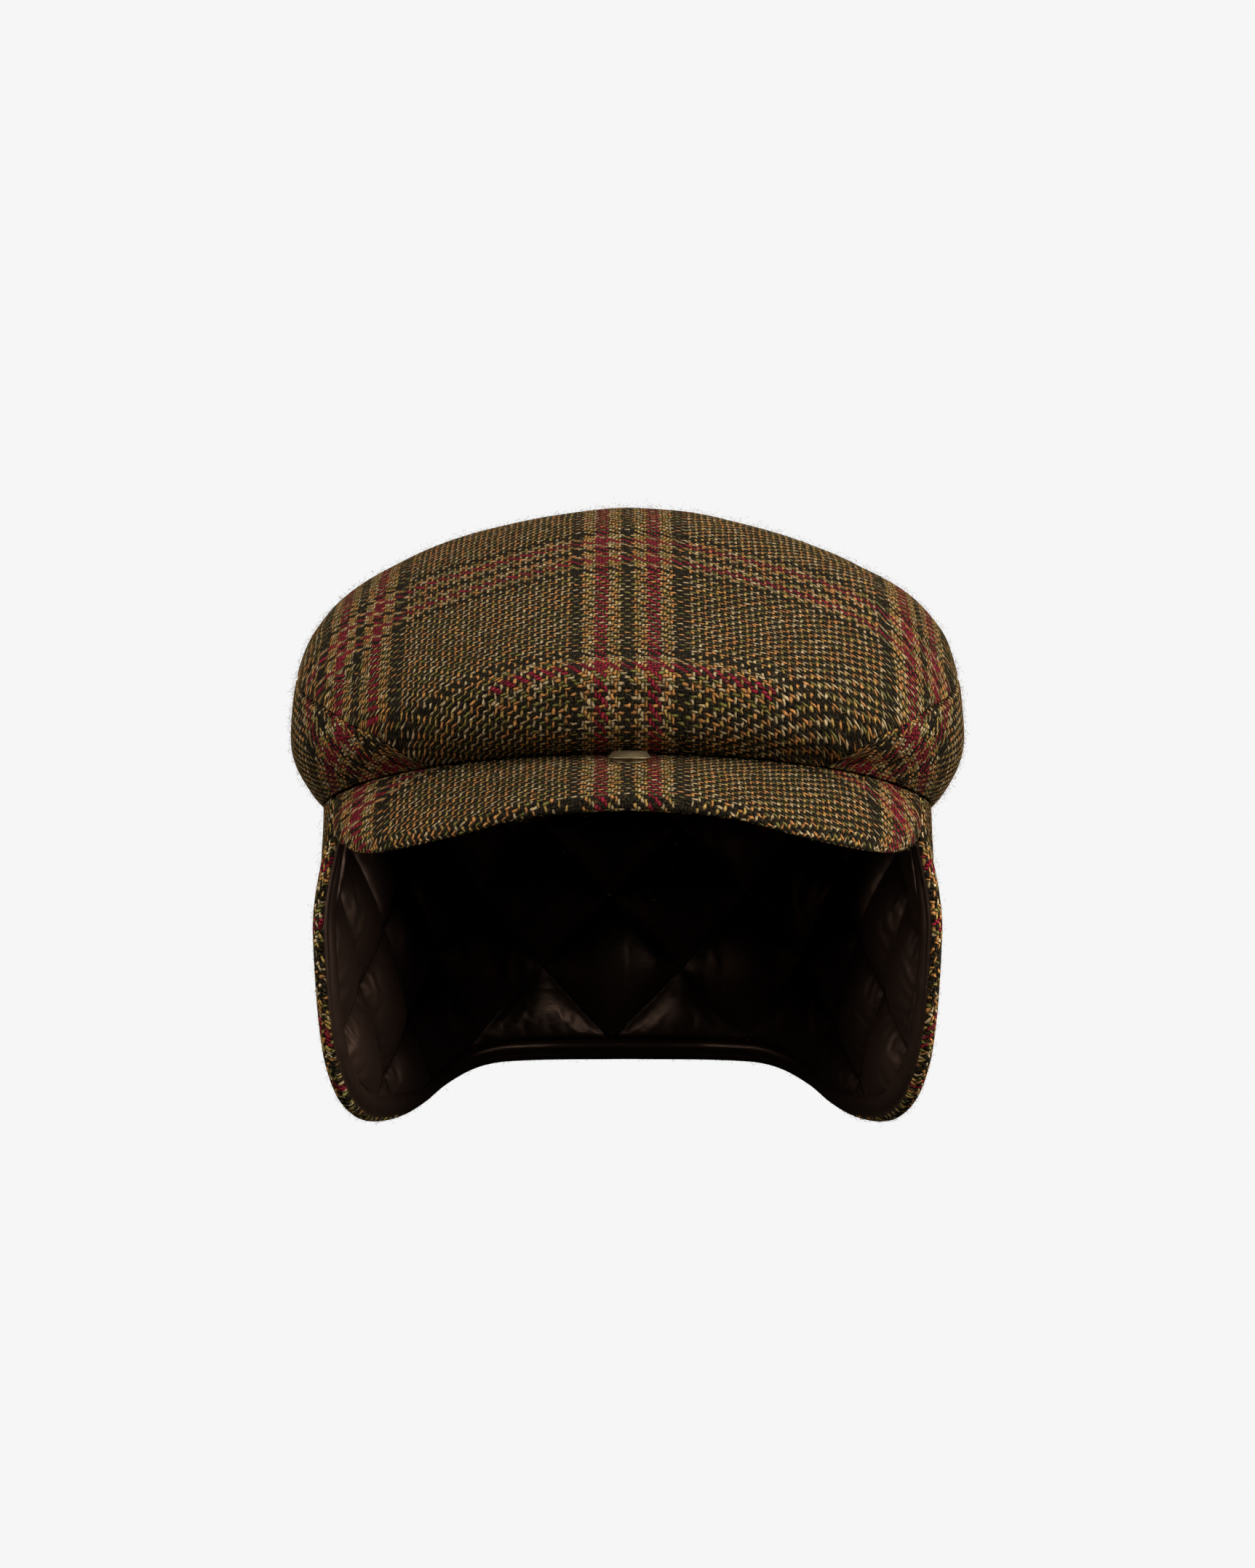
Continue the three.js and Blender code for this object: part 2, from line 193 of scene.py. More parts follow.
@dataclass
class CrownForm:
    """The crown's outside, by angle from the front in degrees and level from edge 0 to top 1."""

    rings: Table = Table(
        ("level", "width", "front", "back", "z_front", "z_side", "z_back", "square", "arch"),
        tuple(
            (i / 13, *row)
            for i, row in enumerate(
                (
                    (86.8, 100.5, 100.5, 15.3, 0.0, 0.0, 2.25, 1.6),
                    (89.7, 104.6, 103.0, 16.9, 3.4, 4.2, 2.25, 1.7),
                    (93.3, 109.6, 105.6, 18.8, 9.6, 10.8, 2.25, 2.1),
                    (95.4, 113.0, 107.0, 22.6, 15.6, 18.0, 2.3, 3.2),
                    (95.9, 114.6, 107.5, 30.0, 20.6, 25.2, 2.35, 6.0),
                    (95.6, 114.4, 107.0, 37.4, 26.4, 32.6, 2.35, 9.0),
                    (95.0, 104.6, 104.6, 42.8, 34.4, 41.4, 2.35, 6.0),
                    (93.2, 90.8, 99.4, 48.9, 43.2, 50.2, 2.3, 4.0),
                    (89.5, 76.2, 91.4, 56.0, 51.8, 59.0, 2.25, 3.0),
                    (81.8, 59.6, 79.8, 64.3, 60.8, 67.6, 2.2, 2.4),
                    (68.2, 40.6, 63.4, 73.2, 69.4, 75.8, 2.12, 2.0),
                    (47.6, 19.4, 44.4, 80.6, 78.2, 81.8, 2.05, 2.0),
                    (24.2, -0.6, 28.0, 85.4, 84.6, 85.8, 2.0, 2.0),
                    (0.0, -13.6, 13.6, 87.0, 87.0, 87.0, 2.0, 2.0),
                    (-24.2, -26.6, -0.8, 85.4, 84.6, 85.8, 2.0, 2.0),
                )
            )
        ),
    )
    seam: Table = Table(
        ("angle", "level"),
        (
            (33, 0.0),
            (35, 0.13),
            (38, 0.235),
            (42, 0.30),
            (50, 0.385),
            (62, 0.43),
            (80, 0.485),
            (100, 0.50),
            (140, 0.48),
            (180, 0.46),
        ),
    )
    rim_turn: float = 0.16
    angle_steps: int = 361
    level_steps: int = 241
    arcs: Array = field(init=False)

    def __post_init__(self) -> None:
        """Measures the way from the top down every meridian."""
        angle = np.linspace(-180, 180, self.angle_steps)[:, None]
        level = np.linspace(1, 0, self.level_steps)[None, :]
        points = self.point(*np.broadcast_arrays(angle, level))
        step = np.linalg.norm(np.diff(points, axis=1), axis=-1)
        none = np.zeros((self.angle_steps, 1))
        self.arcs = np.concatenate([none, np.cumsum(step, axis=1)], axis=1)

    def point(self, angle: Array, level: Array) -> Array:
        """Finds points of the outside.

        Args:
            angle: Degrees round from the front.
            level: From 0 at the edge to 1 at the top.
        Returns:
            Rows of points.
        """
        ring = self.rings.at(np.clip(level, 0, 1))
        turn = np.radians(angle)
        forward, side = np.cos(turn), np.sin(turn)
        half_length = (ring["front"] + ring["back"]) / 2
        middle = (ring["back"] - ring["front"]) / 2
        width = np.maximum(ring["width"], 1e-4)
        half_length = np.maximum(half_length, 1e-4)
        power = ring["square"]
        part = np.abs(forward / half_length) ** power + np.abs(side / width) ** power
        size = part ** (-1 / power)
        ahead = np.maximum(forward, 0) ** ring["arch"]
        behind = np.where(forward < 0, forward**2, 0)
        z_side = ring["z_side"]
        rise = (ring["z_front"] - z_side) * ahead + (ring["z_back"] - z_side) * behind
        return stack(size * side, middle - size * forward, z_side + rise)

    def outward(self, angle: Array, level: Array) -> Array:
        """Gives the outward direction, which turns level at the edge."""
        step = 0.004
        low = np.clip(level - step, 0, 0.985)
        held = np.minimum(level, 0.985)
        up = self.point(angle, low + 2 * step) - self.point(angle, low)
        run = self.point(angle + 0.4, held) - self.point(angle - 0.4, held)
        normal = unit(np.cross(run, up))
        top = smoothstep((np.asarray(level) - 0.96) / 0.03)[..., None]
        normal = unit(mix(normal, np.array([0.0, 0.0, 1.0]), top))
        flat = unit(normal * LEVEL)
        share = smoothstep(np.asarray(level) / self.rim_turn)[..., None]
        return unit(mix(flat, normal, share))

    def seam_level(self, angle: Array) -> Array:
        """Gives the panel seam's level, or 0 where the top panel reaches the edge."""
        turn = np.abs((np.asarray(angle) + 180) % 360 - 180)
        found = np.maximum(self.seam.at(turn)["level"], 0)
        return np.where(turn <= self.seam.rows[0][0], 0.0, found)

    def way_down(self, angle: Array, level: Array) -> Array:
        """Gives the distance along the surface from the top."""
        a = (np.asarray(angle) + 180) % 360 / 360 * (self.angle_steps - 1)
        b = (1 - np.clip(level, 0, 1)) * (self.level_steps - 1)
        i = np.clip(a.astype(int), 0, self.angle_steps - 2)
        j = np.clip(b.astype(int), 0, self.level_steps - 2)
        s, t = a - i, b - j
        low = mix(self.arcs[i, j], self.arcs[i + 1, j], s)
        high = mix(self.arcs[i, j + 1], self.arcs[i + 1, j + 1], s)
        return mix(low, high, t)

    def level_at(self, angle: Array, way: Array) -> Array:
        """Finds the level a distance down from the top."""
        low, high = np.zeros_like(way), np.ones_like(way)
        for _ in range(18):
            middle = (low + high) / 2
            past = self.way_down(angle, middle) > way
            low, high = np.where(past, middle, low), np.where(past, high, middle)
        return (low + high) / 2


@dataclass
class FlapForm:
    """The flap's outside, by distance along the cloth from the nape and height."""

    crown: CrownForm
    plan: Table = Table(
        ("along", "x", "y"),
        (
            (0, 0, 98.2),
            (25, 25, 96.8),
            (46.5, 45.2, 89.6),
            (63, 57.2, 78.4),
            (81, 64.6, 62.0),
            (106, 72.8, 38.4),
            (133, 80.6, 12.6),
            (154, 85.6, -7.8),
            (169, 88.0, -22.6),
            (188, 89.4, -41.6),
        ),
    )
    edge: Table = Table(
        ("way", "along", "z"),
        (
            (0, 0, -77.0),
            (38, 38, -77.5),
            (49, 49, -79.2),
            (64, 63.5, -84.0),
            (79, 78, -88.4),
            (95, 94, -91.2),
            (115, 114, -91.8),
            (131, 130, -89.8),
            (148, 146, -83.6),
            (166, 159.5, -72.5),
            (184, 169, -57.5),
            (203, 176, -40.0),
            (225, 182, -18.6),
            (248, 187, 3.4),
        ),
    )
    corner_way: float = 156
    spread_depth: float = 36
    bend: float = 0.00112
    gap: float = 0.3
    rim: Table = field(init=False)

    def __post_init__(self) -> None:
        """Measures the way round the crown's edge from the nape."""
        angle = np.arange(180, 49, -1.0)
        points = self.crown.point(angle, np.zeros_like(angle)) * LEVEL
        step = np.linalg.norm(np.diff(points, axis=0), axis=1)
        way = np.concatenate([[0], np.cumsum(step)])
        self.rim = Table(("way", "angle"), tuple(zip(way, angle)))

    @property
    def whole_way(self) -> float:
        """The way round the free edge, from the nape to a front top."""
        return self.edge.rows[-1][0]

    def on_plan(self, along: Array, z: Array) -> Array:
        """Finds points of the outside from the distance along the cloth and the height."""
        far = np.abs(along)
        rim = self.crown.point(self.rim.at(far)["angle"], np.zeros_like(far))
        low = self.plan.at(far)
        share = smoothstep(-z / self.spread_depth)
        x = mix(rim[..., 0], low["x"], share) * side_of(along)
        return stack(x, mix(rim[..., 1], low["y"], share), z)

    def inward(self, along: Array, z: Array) -> Array:
        """Gives the level direction towards the head."""
        step = 0.5
        run = self.on_plan(along + step, z) - self.on_plan(along - step, z)
        side = unit(stack(-run[..., 1], run[..., 0], np.zeros_like(along)))
        away = np.sum(side * self.on_plan(along, z), axis=-1, keepdims=True) > 0
        return np.where(away, -side, side)

    def point(self, along: Array, z: Array, depth: Array) -> Array:
        """Finds points a depth inside the outside."""
        return self.on_plan(along, z) + self.inward(along, z) * np.asarray(depth)[..., None]

    def top(self, along: Array) -> Array:
        """Gives the height of the sewn top."""
        angle = self.rim.at(np.abs(along))["angle"]
        return self.crown.point(angle, np.zeros_like(angle))[..., 2] - self.gap

    def edge_at(self, way: Array, inset: Array) -> Array:
        """Finds (along, z) of the free edge, moved inwards by inset."""
        at, before, after = self.edge.at(way), self.edge.at(way - 1), self.edge.at(way + 1)
        run = unit(stack(after["along"] - before["along"], after["z"] - before["z"]))
        return stack(at["along"] - run[..., 1] * inset, at["z"] + run[..., 0] * inset)

    def top_way(self, inset: Array) -> Array:
        """Finds how far round the moved edge reaches the sewn top."""
        way = np.full(np.shape(inset), float(self.whole_way))
        for _ in range(12):
            end = self.edge_at(way, inset)
            way = way - (end[..., 1] - self.top(end[..., 0]))
        return way

    def grid(self, across: Array, down: Array, inset: float) -> Array:
        """Finds (along, z) inside the free edge.

        Args:
            across: 0 at the nape, 1 at the front edge.
            down: 0 at the sewn top, 1 at the hem.
            inset: How far the edge is moved inwards.
        Returns:
            Rows of (along, z).
        """
        last = self.top_way(np.array(inset))
        end = self.edge_at(last, inset)

        def top_at(share: Array) -> Array:
            """Runs along the sewn top."""
            return stack(end[0] * share, self.top(end[0] * share))

        def hem_at(share: Array) -> Array:
            """Runs along the hem."""
            return self.edge_at(self.corner_way * share, inset)

        def front_at(share: Array) -> Array:
            """Runs down the front edge."""
            return self.edge_at(mix(last, self.corner_way, share), inset)

        zero, one = np.zeros_like(across), np.ones_like(across)
        u, v = across[..., None], down[..., None]
        nape = mix(top_at(zero), hem_at(zero), v)
        corners = mix(mix(top_at(zero), top_at(one), u), mix(hem_at(zero), hem_at(one), u), v)
        return mix(top_at(across), hem_at(across), v) + mix(nape, front_at(down), u) - corners

    def on_side(self, signed: Array, at: Array) -> Placed:
        """Splits (along, z), with along below 0 where signed is.

        Args:
            signed: From -1 at the right front edge to 1 at the left one.
            at: Rows of (along, z).
        Returns:
            along and z.
        """
        return at[:, 0] * side_of(signed), at[:, 1]

    def cloth_uv(self, along: Array, z: Array) -> Array:
        """Gives the place on the flat cloth, whose rows rise towards the front."""
        return stack(along, z - self.bend * along**2)


@dataclass
class PeakForm:
    """The peak, by turn from -90 to 90 round it and the way out from root 0 to edge 1."""

    crown: CrownForm
    thickness: float = 4.2
    half_width: float = 81.5
    end_y: float = -46
    reach: float = 98.5
    square: float = 2.2
    root_angle: float = 60
    crowning: float = 1.4
    wall: float = 2.0
    gap: float = 0.3
    edge: Table = Table(
        ("turn", "z"),
        (
            (0, 1.5),
            (10, 0.7),
            (20, -1.5),
            (32, -5.7),
            (48, -9.3),
            (57, -10.4),
            (67, -9.4),
            (80, -5.6),
            (90, 1.6),
        ),
    )

    def point(self, turn: Array, out: Array, above: Array) -> Array:
        """Finds points a height above the middle of the peak's thickness."""
        half = np.abs(turn)
        bend = 2 / self.square
        angle = half * self.root_angle / 90
        zero = np.zeros_like(angle)
        root = self.crown.point(angle, zero) - self.crown.outward(angle, zero) * self.wall / 2
        root = root - np.array([0, 0, self.gap + self.thickness / 2])
        edge = stack(
            self.half_width * np.abs(np.sin(np.radians(half))) ** bend,
            self.end_y - self.reach * np.abs(np.cos(np.radians(half))) ** bend,
            self.edge.at(half)["z"],
        )
        point = mix(root, edge, out[..., None])
        width = np.linalg.norm(edge - root, axis=-1)
        bow = np.minimum(self.crowning, width / 20) * np.sin(np.pi * np.clip(out, 0, 1))
        lift = stack(zero, zero, bow + above)
        return (point + lift) * stack(side_of(turn), zero + 1, zero + 1)


# ---------------------------------------------------------------------------------------------
# Finishes
# ---------------------------------------------------------------------------------------------
class Nodes:
    """Builds one material's nodes."""

    def __init__(self, name: str) -> None:
        """Starts an empty material.

        Args:
            name: The material's name.
        """
        self.material = bpy.data.materials.new(name)
        self.material.use_nodes = True
        self.tree = self.material.node_tree
        self.tree.nodes.clear()
        self.output = self.tree.nodes.new("ShaderNodeOutputMaterial")

    def add(self, kind: str, **settings: object) -> bpy.types.Node:
        """Adds a node with its settings."""
        node = self.tree.nodes.new(kind)
        for name, value in settings.items():
            setattr(node, name, value)
        return node

    def wire(self, value: object, socket: Socket) -> None:
        """Links a socket, or sets a constant, on an input."""
        if isinstance(value, Socket):
            self.tree.links.new(value, socket)
        else:
            socket.default_value = value

    def math(self, operation: str, *values: object) -> Socket:
        """Works out one number from others."""
        node = self.add("ShaderNodeMath", operation=operation)
        for value, socket in zip(values, node.inputs):
            self.wire(value, socket)
        return node.outputs[0]

    def blend(self, share: object, a: object, b: object, how: str = "MIX") -> Socket:
        """Mixes two colours."""
        node = self.add("ShaderNodeMix", data_type="RGBA", blend_type=how)
        self.wire(share, node.inputs[0])
        self.wire(a, node.inputs[6])
        self.wire(b, node.inputs[7])
        return node.outputs[2]

    def choose(self, flag: object, no: object, yes: object) -> Socket:
        """Picks one of two numbers by a flag of 0 or 1."""
        node = self.add("ShaderNodeMix", data_type="FLOAT")
        for value, index in ((flag, 0), (no, 2), (yes, 3)):
            self.wire(value, node.inputs[index])
        return node.outputs[0]

    def vector(self, x: object, y: object, z: object = 0.0) -> Socket:
        """Joins three numbers."""
        node = self.add("ShaderNodeCombineXYZ")
        for value, socket in zip((x, y, z), node.inputs):
            self.wire(value, socket)
        return node.outputs[0]

    def noise(self, place: object, scale: float, detail: float = 2.0) -> Socket:
        """Reads soft noise from 0 to 1."""
        node = self.add("ShaderNodeTexNoise")
        self.wire(place, node.inputs["Vector"])
        node.inputs["Scale"].default_value = scale
        node.inputs["Detail"].default_value = detail
        return node.outputs[0]

    def chance(self, place: object) -> Socket:
        """Reads a random number for a place."""
        node = self.add("ShaderNodeTexWhiteNoise", noise_dimensions="3D")
        self.wire(place, node.inputs["Vector"])
        return node.outputs[0]

    def swing(self, place: object, scale: float, detail: float) -> Socket:
        """Reads soft noise from -0.5 to 0.5."""
        return self.math("SUBTRACT", self.noise(place, scale, detail), 0.5)

    def scaled(self, value: object, by: float, plus: float) -> Socket:
        """Multiplies a number, then adds to it."""
        return self.math("ADD", self.math("MULTIPLY", value, by), plus)

    def one_less(self, value: object, by: float) -> Socket:
        """Takes a multiple of a number from 1."""
        return self.math("SUBTRACT", 1.0, self.math("MULTIPLY", value, by))

    def cloth(self) -> Socket:
        """Reads the place on the flat cloth, in metres."""
        return self.add("ShaderNodeUVMap", uv_map=UV_CLOTH).outputs[0]

    def parts(self, place: object) -> Sequence[Socket]:
        """Splits a place into its numbers."""
        node = self.add("ShaderNodeSeparateXYZ")
        self.wire(place, node.inputs[0])
        return node.outputs

    def shifted(self, place: object, by: tuple[float, float, float]) -> Socket:
        """Moves a place."""
        node = self.add("ShaderNodeVectorMath", operation="ADD")
        self.wire(place, node.inputs[0])
        node.inputs[1].default_value = by
        return node.outputs[0]

    def stretched(self, place: object, by: tuple[float, float, float]) -> Socket:
        """Scales a place along its axes."""
        node = self.add("ShaderNodeMapping")
        self.wire(place, node.inputs["Vector"])
        node.inputs["Scale"].default_value = by
        return node.outputs[0]

    def steps(self, value: object, stops: Sequence[tuple[float, Colour]]) -> Socket:
        """Picks a colour by a value from 0 to 1, without blending.

        Args:
            value: The value.
            stops: Where each colour starts, and the colour. The first starts at 0.
        Returns:
            The colour.
        """
        ramp = self.add("ShaderNodeValToRGB")
        ramp.color_ramp.interpolation = "CONSTANT"
        elements = ramp.color_ramp.elements
        elements.remove(elements[1])
        for index, (start, colour) in enumerate(stops):
            element = elements[0] if index == 0 else elements.new(start)
            element.color = colour
        self.wire(value, ramp.inputs[0])
        return ramp.outputs[0]

    def toned(self, colour: object, tone: object) -> Socket:
        """Makes a colour darker or lighter."""
        return self.blend(1.0, colour, self.vector(tone, tone, tone), "MULTIPLY")

    def shade(self, height: object, distance: float, strength: float, **inputs: object) -> None:
        """Ends the material in a principled shader.

        Args:
            height: The relief, from 0 to 1.
            distance: The relief's depth in metres.
            strength: How strongly it shows.
            **inputs: The shader's sockets, with _ for a space.
        """
        shader = self.add("ShaderNodeBsdfPrincipled")
        for name, value in inputs.items():
            self.wire(value, shader.inputs[name.replace("_", " ")])
        if height is not None:
            bump = self.add("ShaderNodeBump")
            bump.inputs["Strength"].default_value = strength
            bump.inputs["Distance"].default_value = distance
            self.wire(height, bump.inputs["Height"])
            self.wire(bump.outputs[0], shader.inputs["Normal"])
        self.tree.links.new(shader.outputs[0], self.output.inputs["Surface"])


def rgb(red: int, green: int, blue: int) -> Colour:
    """Turns a screen colour into a linear one."""
    linear = []
    for value in (red, green, blue):
        share = value / 255
        linear.append(((share + 0.055) / 1.055) ** 2.4 if value > 10 else share / 12.92)
    return (*linear, 1.0)


def even(colours: Sequence[Colour]) -> list[tuple[float, Colour]]:
    """Spreads colours evenly over 0 to 1, each with where it starts."""
    return [(index / len(colours), colour) for index, colour in enumerate(colours)]


class Yarn(Enum):
    """The yarns of the tweed."""

    CHARCOAL = rgb(12, 18, 23)
    UMBER = rgb(18, 16, 13)
    OCHRE = rgb(216, 172, 92)
    OLIVE = rgb(146, 136, 68)
    ORANGE = rgb(230, 156, 86)
    BEIGE = rgb(226, 194, 142)
    BURGUNDY = rgb(172, 18, 58)


@dataclass(frozen=True)
class Tweed:
    """A two and two twill in a window check, read from the cloth's own map in metres.

    Dark and light threads take turns, but for groups of bands at every repeat. Shade is painted into the
    low places between the yarns.
    """

    warp_pitch: float = 0.875
    weft_pitch: float = 0.94
    repeat: int = 92
    block: int = 36
    last_row: float = -90.5
    middle_half: float = 42
    slack: float = 0.42
    # above 1, paints light over the whole weave: a lighter, lit copy of the tweed
    painted_light_lift: float = 1.0
    bands: tuple[float, ...] = (0.0, 1.0, 0.5, 1.0, 0.0, 1.0, 0.5, 1.0, 0.0)
    twill: float = 4.0
    first_warp: float = -9999.0

    def thread(
        self,
        nodes: Nodes,
        number: object,
        luck: object,
        lights: Sequence[Yarn],
        dark: Yarn,
        first: object,
    ) -> Socket:
        """Picks a thread's colour from its number.

        Args:
            nodes: The material's nodes.
            number: The thread's whole number, 0 at the middle of a group of bands.
            luck: A chance value for each float of the thread.
            lights: The light yarns, which take turns.
            dark: The dark yarn.
            first: Bands have numbers above this.
        Returns:
            The colour.
        """
        counted = nodes.math("ADD", number, self.block / 2)
        place = nodes.math("FLOORED_MODULO", counted, float(self.repeat))
        share = nodes.math("DIVIDE", nodes.math("ADD", place, 0.5), float(self.block))
        banded = nodes.steps(share, even([(kind, kind, kind, 1.0) for kind in self.bands]))
        in_block = nodes.math("LESS_THAN", place, self.block - 0.5)
        in_block = nodes.math("MULTIPLY", in_block, nodes.math("GREATER_THAN", number, first))
        kind = nodes.choose(in_block, nodes.math("FLOORED_MODULO", number, 2.0), banded)
        moved = nodes.math("ADD", number, nodes.math("GREATER_THAN", luck, 0.6))
        turn = nodes.math("FLOORED_MODULO", moved, float(len(lights)))
        turn = nodes.math("DIVIDE", nodes.math("ADD", turn, 0.5), float(len(lights)))
        light = nodes.steps(turn, even([yarn.value for yarn in lights]))
        plain = nodes.blend(nodes.math("GREATER_THAN", kind, 0.75), dark.value, light)
        lined = nodes.math("COMPARE", kind, 0.5, 0.2)
        return nodes.blend(lined, plain, Yarn.BURGUNDY.value)

    def wander(self, nodes: Nodes, cloth: object, shift: float) -> Socket:
        """Gives how far the threads stray, in threads."""
        place = nodes.shifted(cloth, (shift, shift, 0))
        slow = nodes.math("MULTIPLY", nodes.swing(place, 100, 1), 3.4)
        quick = nodes.math("MULTIPLY", nodes.swing(place, 800, 1), 3.0)
        return nodes.math("MULTIPLY", nodes.math("ADD", slow, quick), self.slack)

    def float_height(self, nodes: Nodes, across: object, whole: object, length: object) -> Socket:
        """Rounds a float across the yarn, and along it from 0 to 2."""
        off = nodes.math("SUBTRACT", nodes.math("SUBTRACT", across, whole), 0.5)
        wide = nodes.one_less(nodes.math("MULTIPLY", off, off), 3.6)
        hump = nodes.math("SINE", nodes.math("MULTIPLY", length, math.pi / 2))
        return nodes.math("MULTIPLY", wide, nodes.scaled(hump, 0.6, 0.4))

    def haze(self, nodes: Nodes, cloth: object) -> Socket:
        """Finds thin curling hairs that lie over the weave."""
        total = 0.0
        for scale, shift in ((900.0, 2.7), (1500.0, 5.1)):
            place = nodes.shifted(cloth, (shift, -shift, 0))
            level = nodes.math("ABSOLUTE", nodes.swing(place, scale, 0))
            line = nodes.math("MAXIMUM", nodes.one_less(level, 26.0), 0.0)
            total = nodes.math("MAXIMUM", line, total)
        return total

    def material(self) -> bpy.types.Material:
        """Makes the finish."""
        nodes = Nodes("tweed")
        cloth = nodes.cloth()
        place = nodes.parts(cloth)
        across = nodes.math("DIVIDE", place[0], self.warp_pitch * MM)
        up = nodes.math("DIVIDE", place[1], self.weft_pitch * MM)
        a = nodes.math("ADD", across, self.wander(nodes, cloth, 0.0))
        b = nodes.math("ADD", up, self.wander(nodes, cloth, 7.3))
        i, j = nodes.math("FLOOR", a), nodes.math("FLOOR", b)
        on_warp, on_weft = nodes.math("ADD", i, b), nodes.math("ADD", a, j)
        q = nodes.math("FLOORED_MODULO", on_warp, self.twill)
        r = nodes.math("SUBTRACT", nodes.math("FLOORED_MODULO", on_weft, self.twill), 2.0)
        step = nodes.math("FLOORED_MODULO", nodes.math("ADD", i, j), self.twill)
        warp_up = nodes.math("LESS_THAN", step, 1.5)
        warp_height = self.float_height(nodes, a, i, q)
        height = nodes.choose(warp_up, self.float_height(nodes, b, j, r), warp_height)
        warp_float = nodes.math("FLOOR", nodes.math("DIVIDE", on_warp, self.twill))
        weft_float = nodes.math("FLOOR", nodes.math("DIVIDE", on_weft, self.twill))
        warp_number = nodes.vector(i, warp_float)
        luck = nodes.chance(nodes.blend(warp_up, nodes.vector(weft_float, j, 3.0), warp_number))
        warp_lights = (Yarn.OCHRE, Yarn.BEIGE, Yarn.ORANGE)
        warp = self.thread(nodes, i, luck, warp_lights, Yarn.CHARCOAL, self.first_warp)
        aside = nodes.math("GREATER_THAN", nodes.math("ABSOLUTE", i), self.middle_half)
        last = nodes.choose(aside, self.last_row, self.last_row + 12)
        weft = self.thread(nodes, j, luck, (Yarn.ORANGE, Yarn.OLIVE, Yarn.BEIGE), Yarn.UMBER, last)
        colour = nodes.blend(warp_up, weft, warp)
        warp_lean = nodes.math("ADD", b, nodes.math("MULTIPLY", a, 2.0))
        weft_lean = nodes.math("ADD", a, nodes.math("MULTIPLY", b, 2.0))
        twist_warp = nodes.vector(nodes.math("MULTIPLY", a, 5.0), warp_lean)
        twist_weft = nodes.vector(weft_lean, nodes.math("MULTIPLY", b, 5.0))
        along = nodes.blend(warp_up, twist_weft, twist_warp)
        streak = nodes.swing(along, 1.5, 3)
        speck = nodes.math("MULTIPLY", nodes.math("SUBTRACT", nodes.noise(along, 2.9, 1), 0.56), 5.0)
        speck = nodes.math("MINIMUM", nodes.math("MAXIMUM", speck, 0.0), 0.16)
        colour = nodes.blend(speck, colour, Yarn.OCHRE.value)
        drawn = nodes.scaled(luck, 0.7, 0.75)
        tone = nodes.math("ADD", nodes.math("MULTIPLY", streak, 2.0), drawn)
        # painted light: the lift lightens the whole weave where it is above 1
        tone = nodes.math("MULTIPLY", tone, self.painted_light_lift)
        # painted shade: the colour darkens towards the low places between the yarns, as their shadow
        full = nodes.math("MULTIPLY", nodes.math("MULTIPLY", height, height), 2.0)
        gap = nodes.math("SMOOTH_MIN", full, 1.25, 0.3)
        colour = nodes.toned(colour, nodes.math("MAXIMUM", nodes.math("MULTIPLY", tone, gap), 0.05))
        hairs = nodes.math("MULTIPLY", self.haze(nodes, cloth), 0.12)
        colour = nodes.blend(hairs, colour, rgb(190, 170, 132))
        relief = nodes.math("ADD", height, nodes.math("MULTIPLY", streak, 0.5))
        nodes.shade(
            nodes.math("ADD", relief, hairs),
            0.0009,
            1.0,
            Base_Color=colour,
            Roughness=0.95,
            Specular_IOR_Level=0.08,
            Sheen_Weight=0.03,
            Sheen_Roughness=0.5,
            Sheen_Tint=(0.8, 0.66, 0.45, 1.0),
        )
        return nodes.material


@dataclass(frozen=True)
class Satin:
    """Dark brown satin with a fine weft rib, read from the cloth's own map.

    Where it is quilted, shade is painted along the stitch lines: colour and shine are darkened there,
    standing in for the shadow in the stitched grooves.
    """

    colour: Colour = rgb(42, 27, 20)
    rib: float = 2600
    diagonal: float = 0.0
    shift: tuple[float, float] = (0.0, 0.0)
    # width of the painted shade along each stitch line, in millimetres
    painted_shade_width: float = 0.9

    def stitch_lines(self, nodes: Nodes, cloth: object) -> Socket | float:
        """Finds the quilt's stitch lines, as 1 on a line and 0 away from it."""
        if not self.diagonal:
            return 0.0
        place = nodes.parts(cloth)
        u = nodes.math("SUBTRACT", nodes.math("DIVIDE", place[0], MM), self.shift[0])
        v = nodes.math("SUBTRACT", nodes.math("DIVIDE", place[1], MM), self.shift[1])
        found = 0.0
        for how in ("ADD", "SUBTRACT"):
            turn = nodes.math("DIVIDE", nodes.math(how, u, v), self.diagonal)
            part = nodes.math("FLOORED_MODULO", nodes.math("ADD", turn, 0.5), 1.0)
            off = nodes.math("ABSOLUTE", nodes.math("SUBTRACT", part, 0.5))
            width = self.painted_shade_width / self.diagonal * math.sqrt(2)
            near = nodes.math("SUBTRACT", 1.0, nodes.math("DIVIDE", off, width))
            found = nodes.math("MAXIMUM", near, found)
        return found

    def material(self) -> bpy.types.Material:
        """Makes the finish."""
        nodes = Nodes("satin")
        cloth = nodes.cloth()
        rib = nodes.noise(nodes.stretched(cloth, (0.12, 1.0, 1.0)), self.rib, 2)
        # painted shade: colour and shine are darkened along the stitch lines, standing in for the
        # grooves' shadow
        painted_groove_shade = nodes.one_less(self.stitch_lines(nodes, cloth), 0.9)
        tone = nodes.math("MULTIPLY", nodes.scaled(nodes.noise(cloth, 60, 3), 0.5, 0.75), painted_groove_shade)
        nodes.shade(
            rib,
            0.00006,
            0.5,
            Base_Color=nodes.toned(self.colour, tone),
            Roughness=nodes.scaled(rib, 0.12, 0.34),
            IOR=1.8,
            Specular_IOR_Level=painted_groove_shade,
            Specular_Tint=(1.0, 0.62, 0.44, 1.0),
            Sheen_Weight=0.1,
            Sheen_Roughness=0.4,
            Sheen_Tint=(0.7, 0.45, 0.3, 1.0),
        )
        return nodes.material


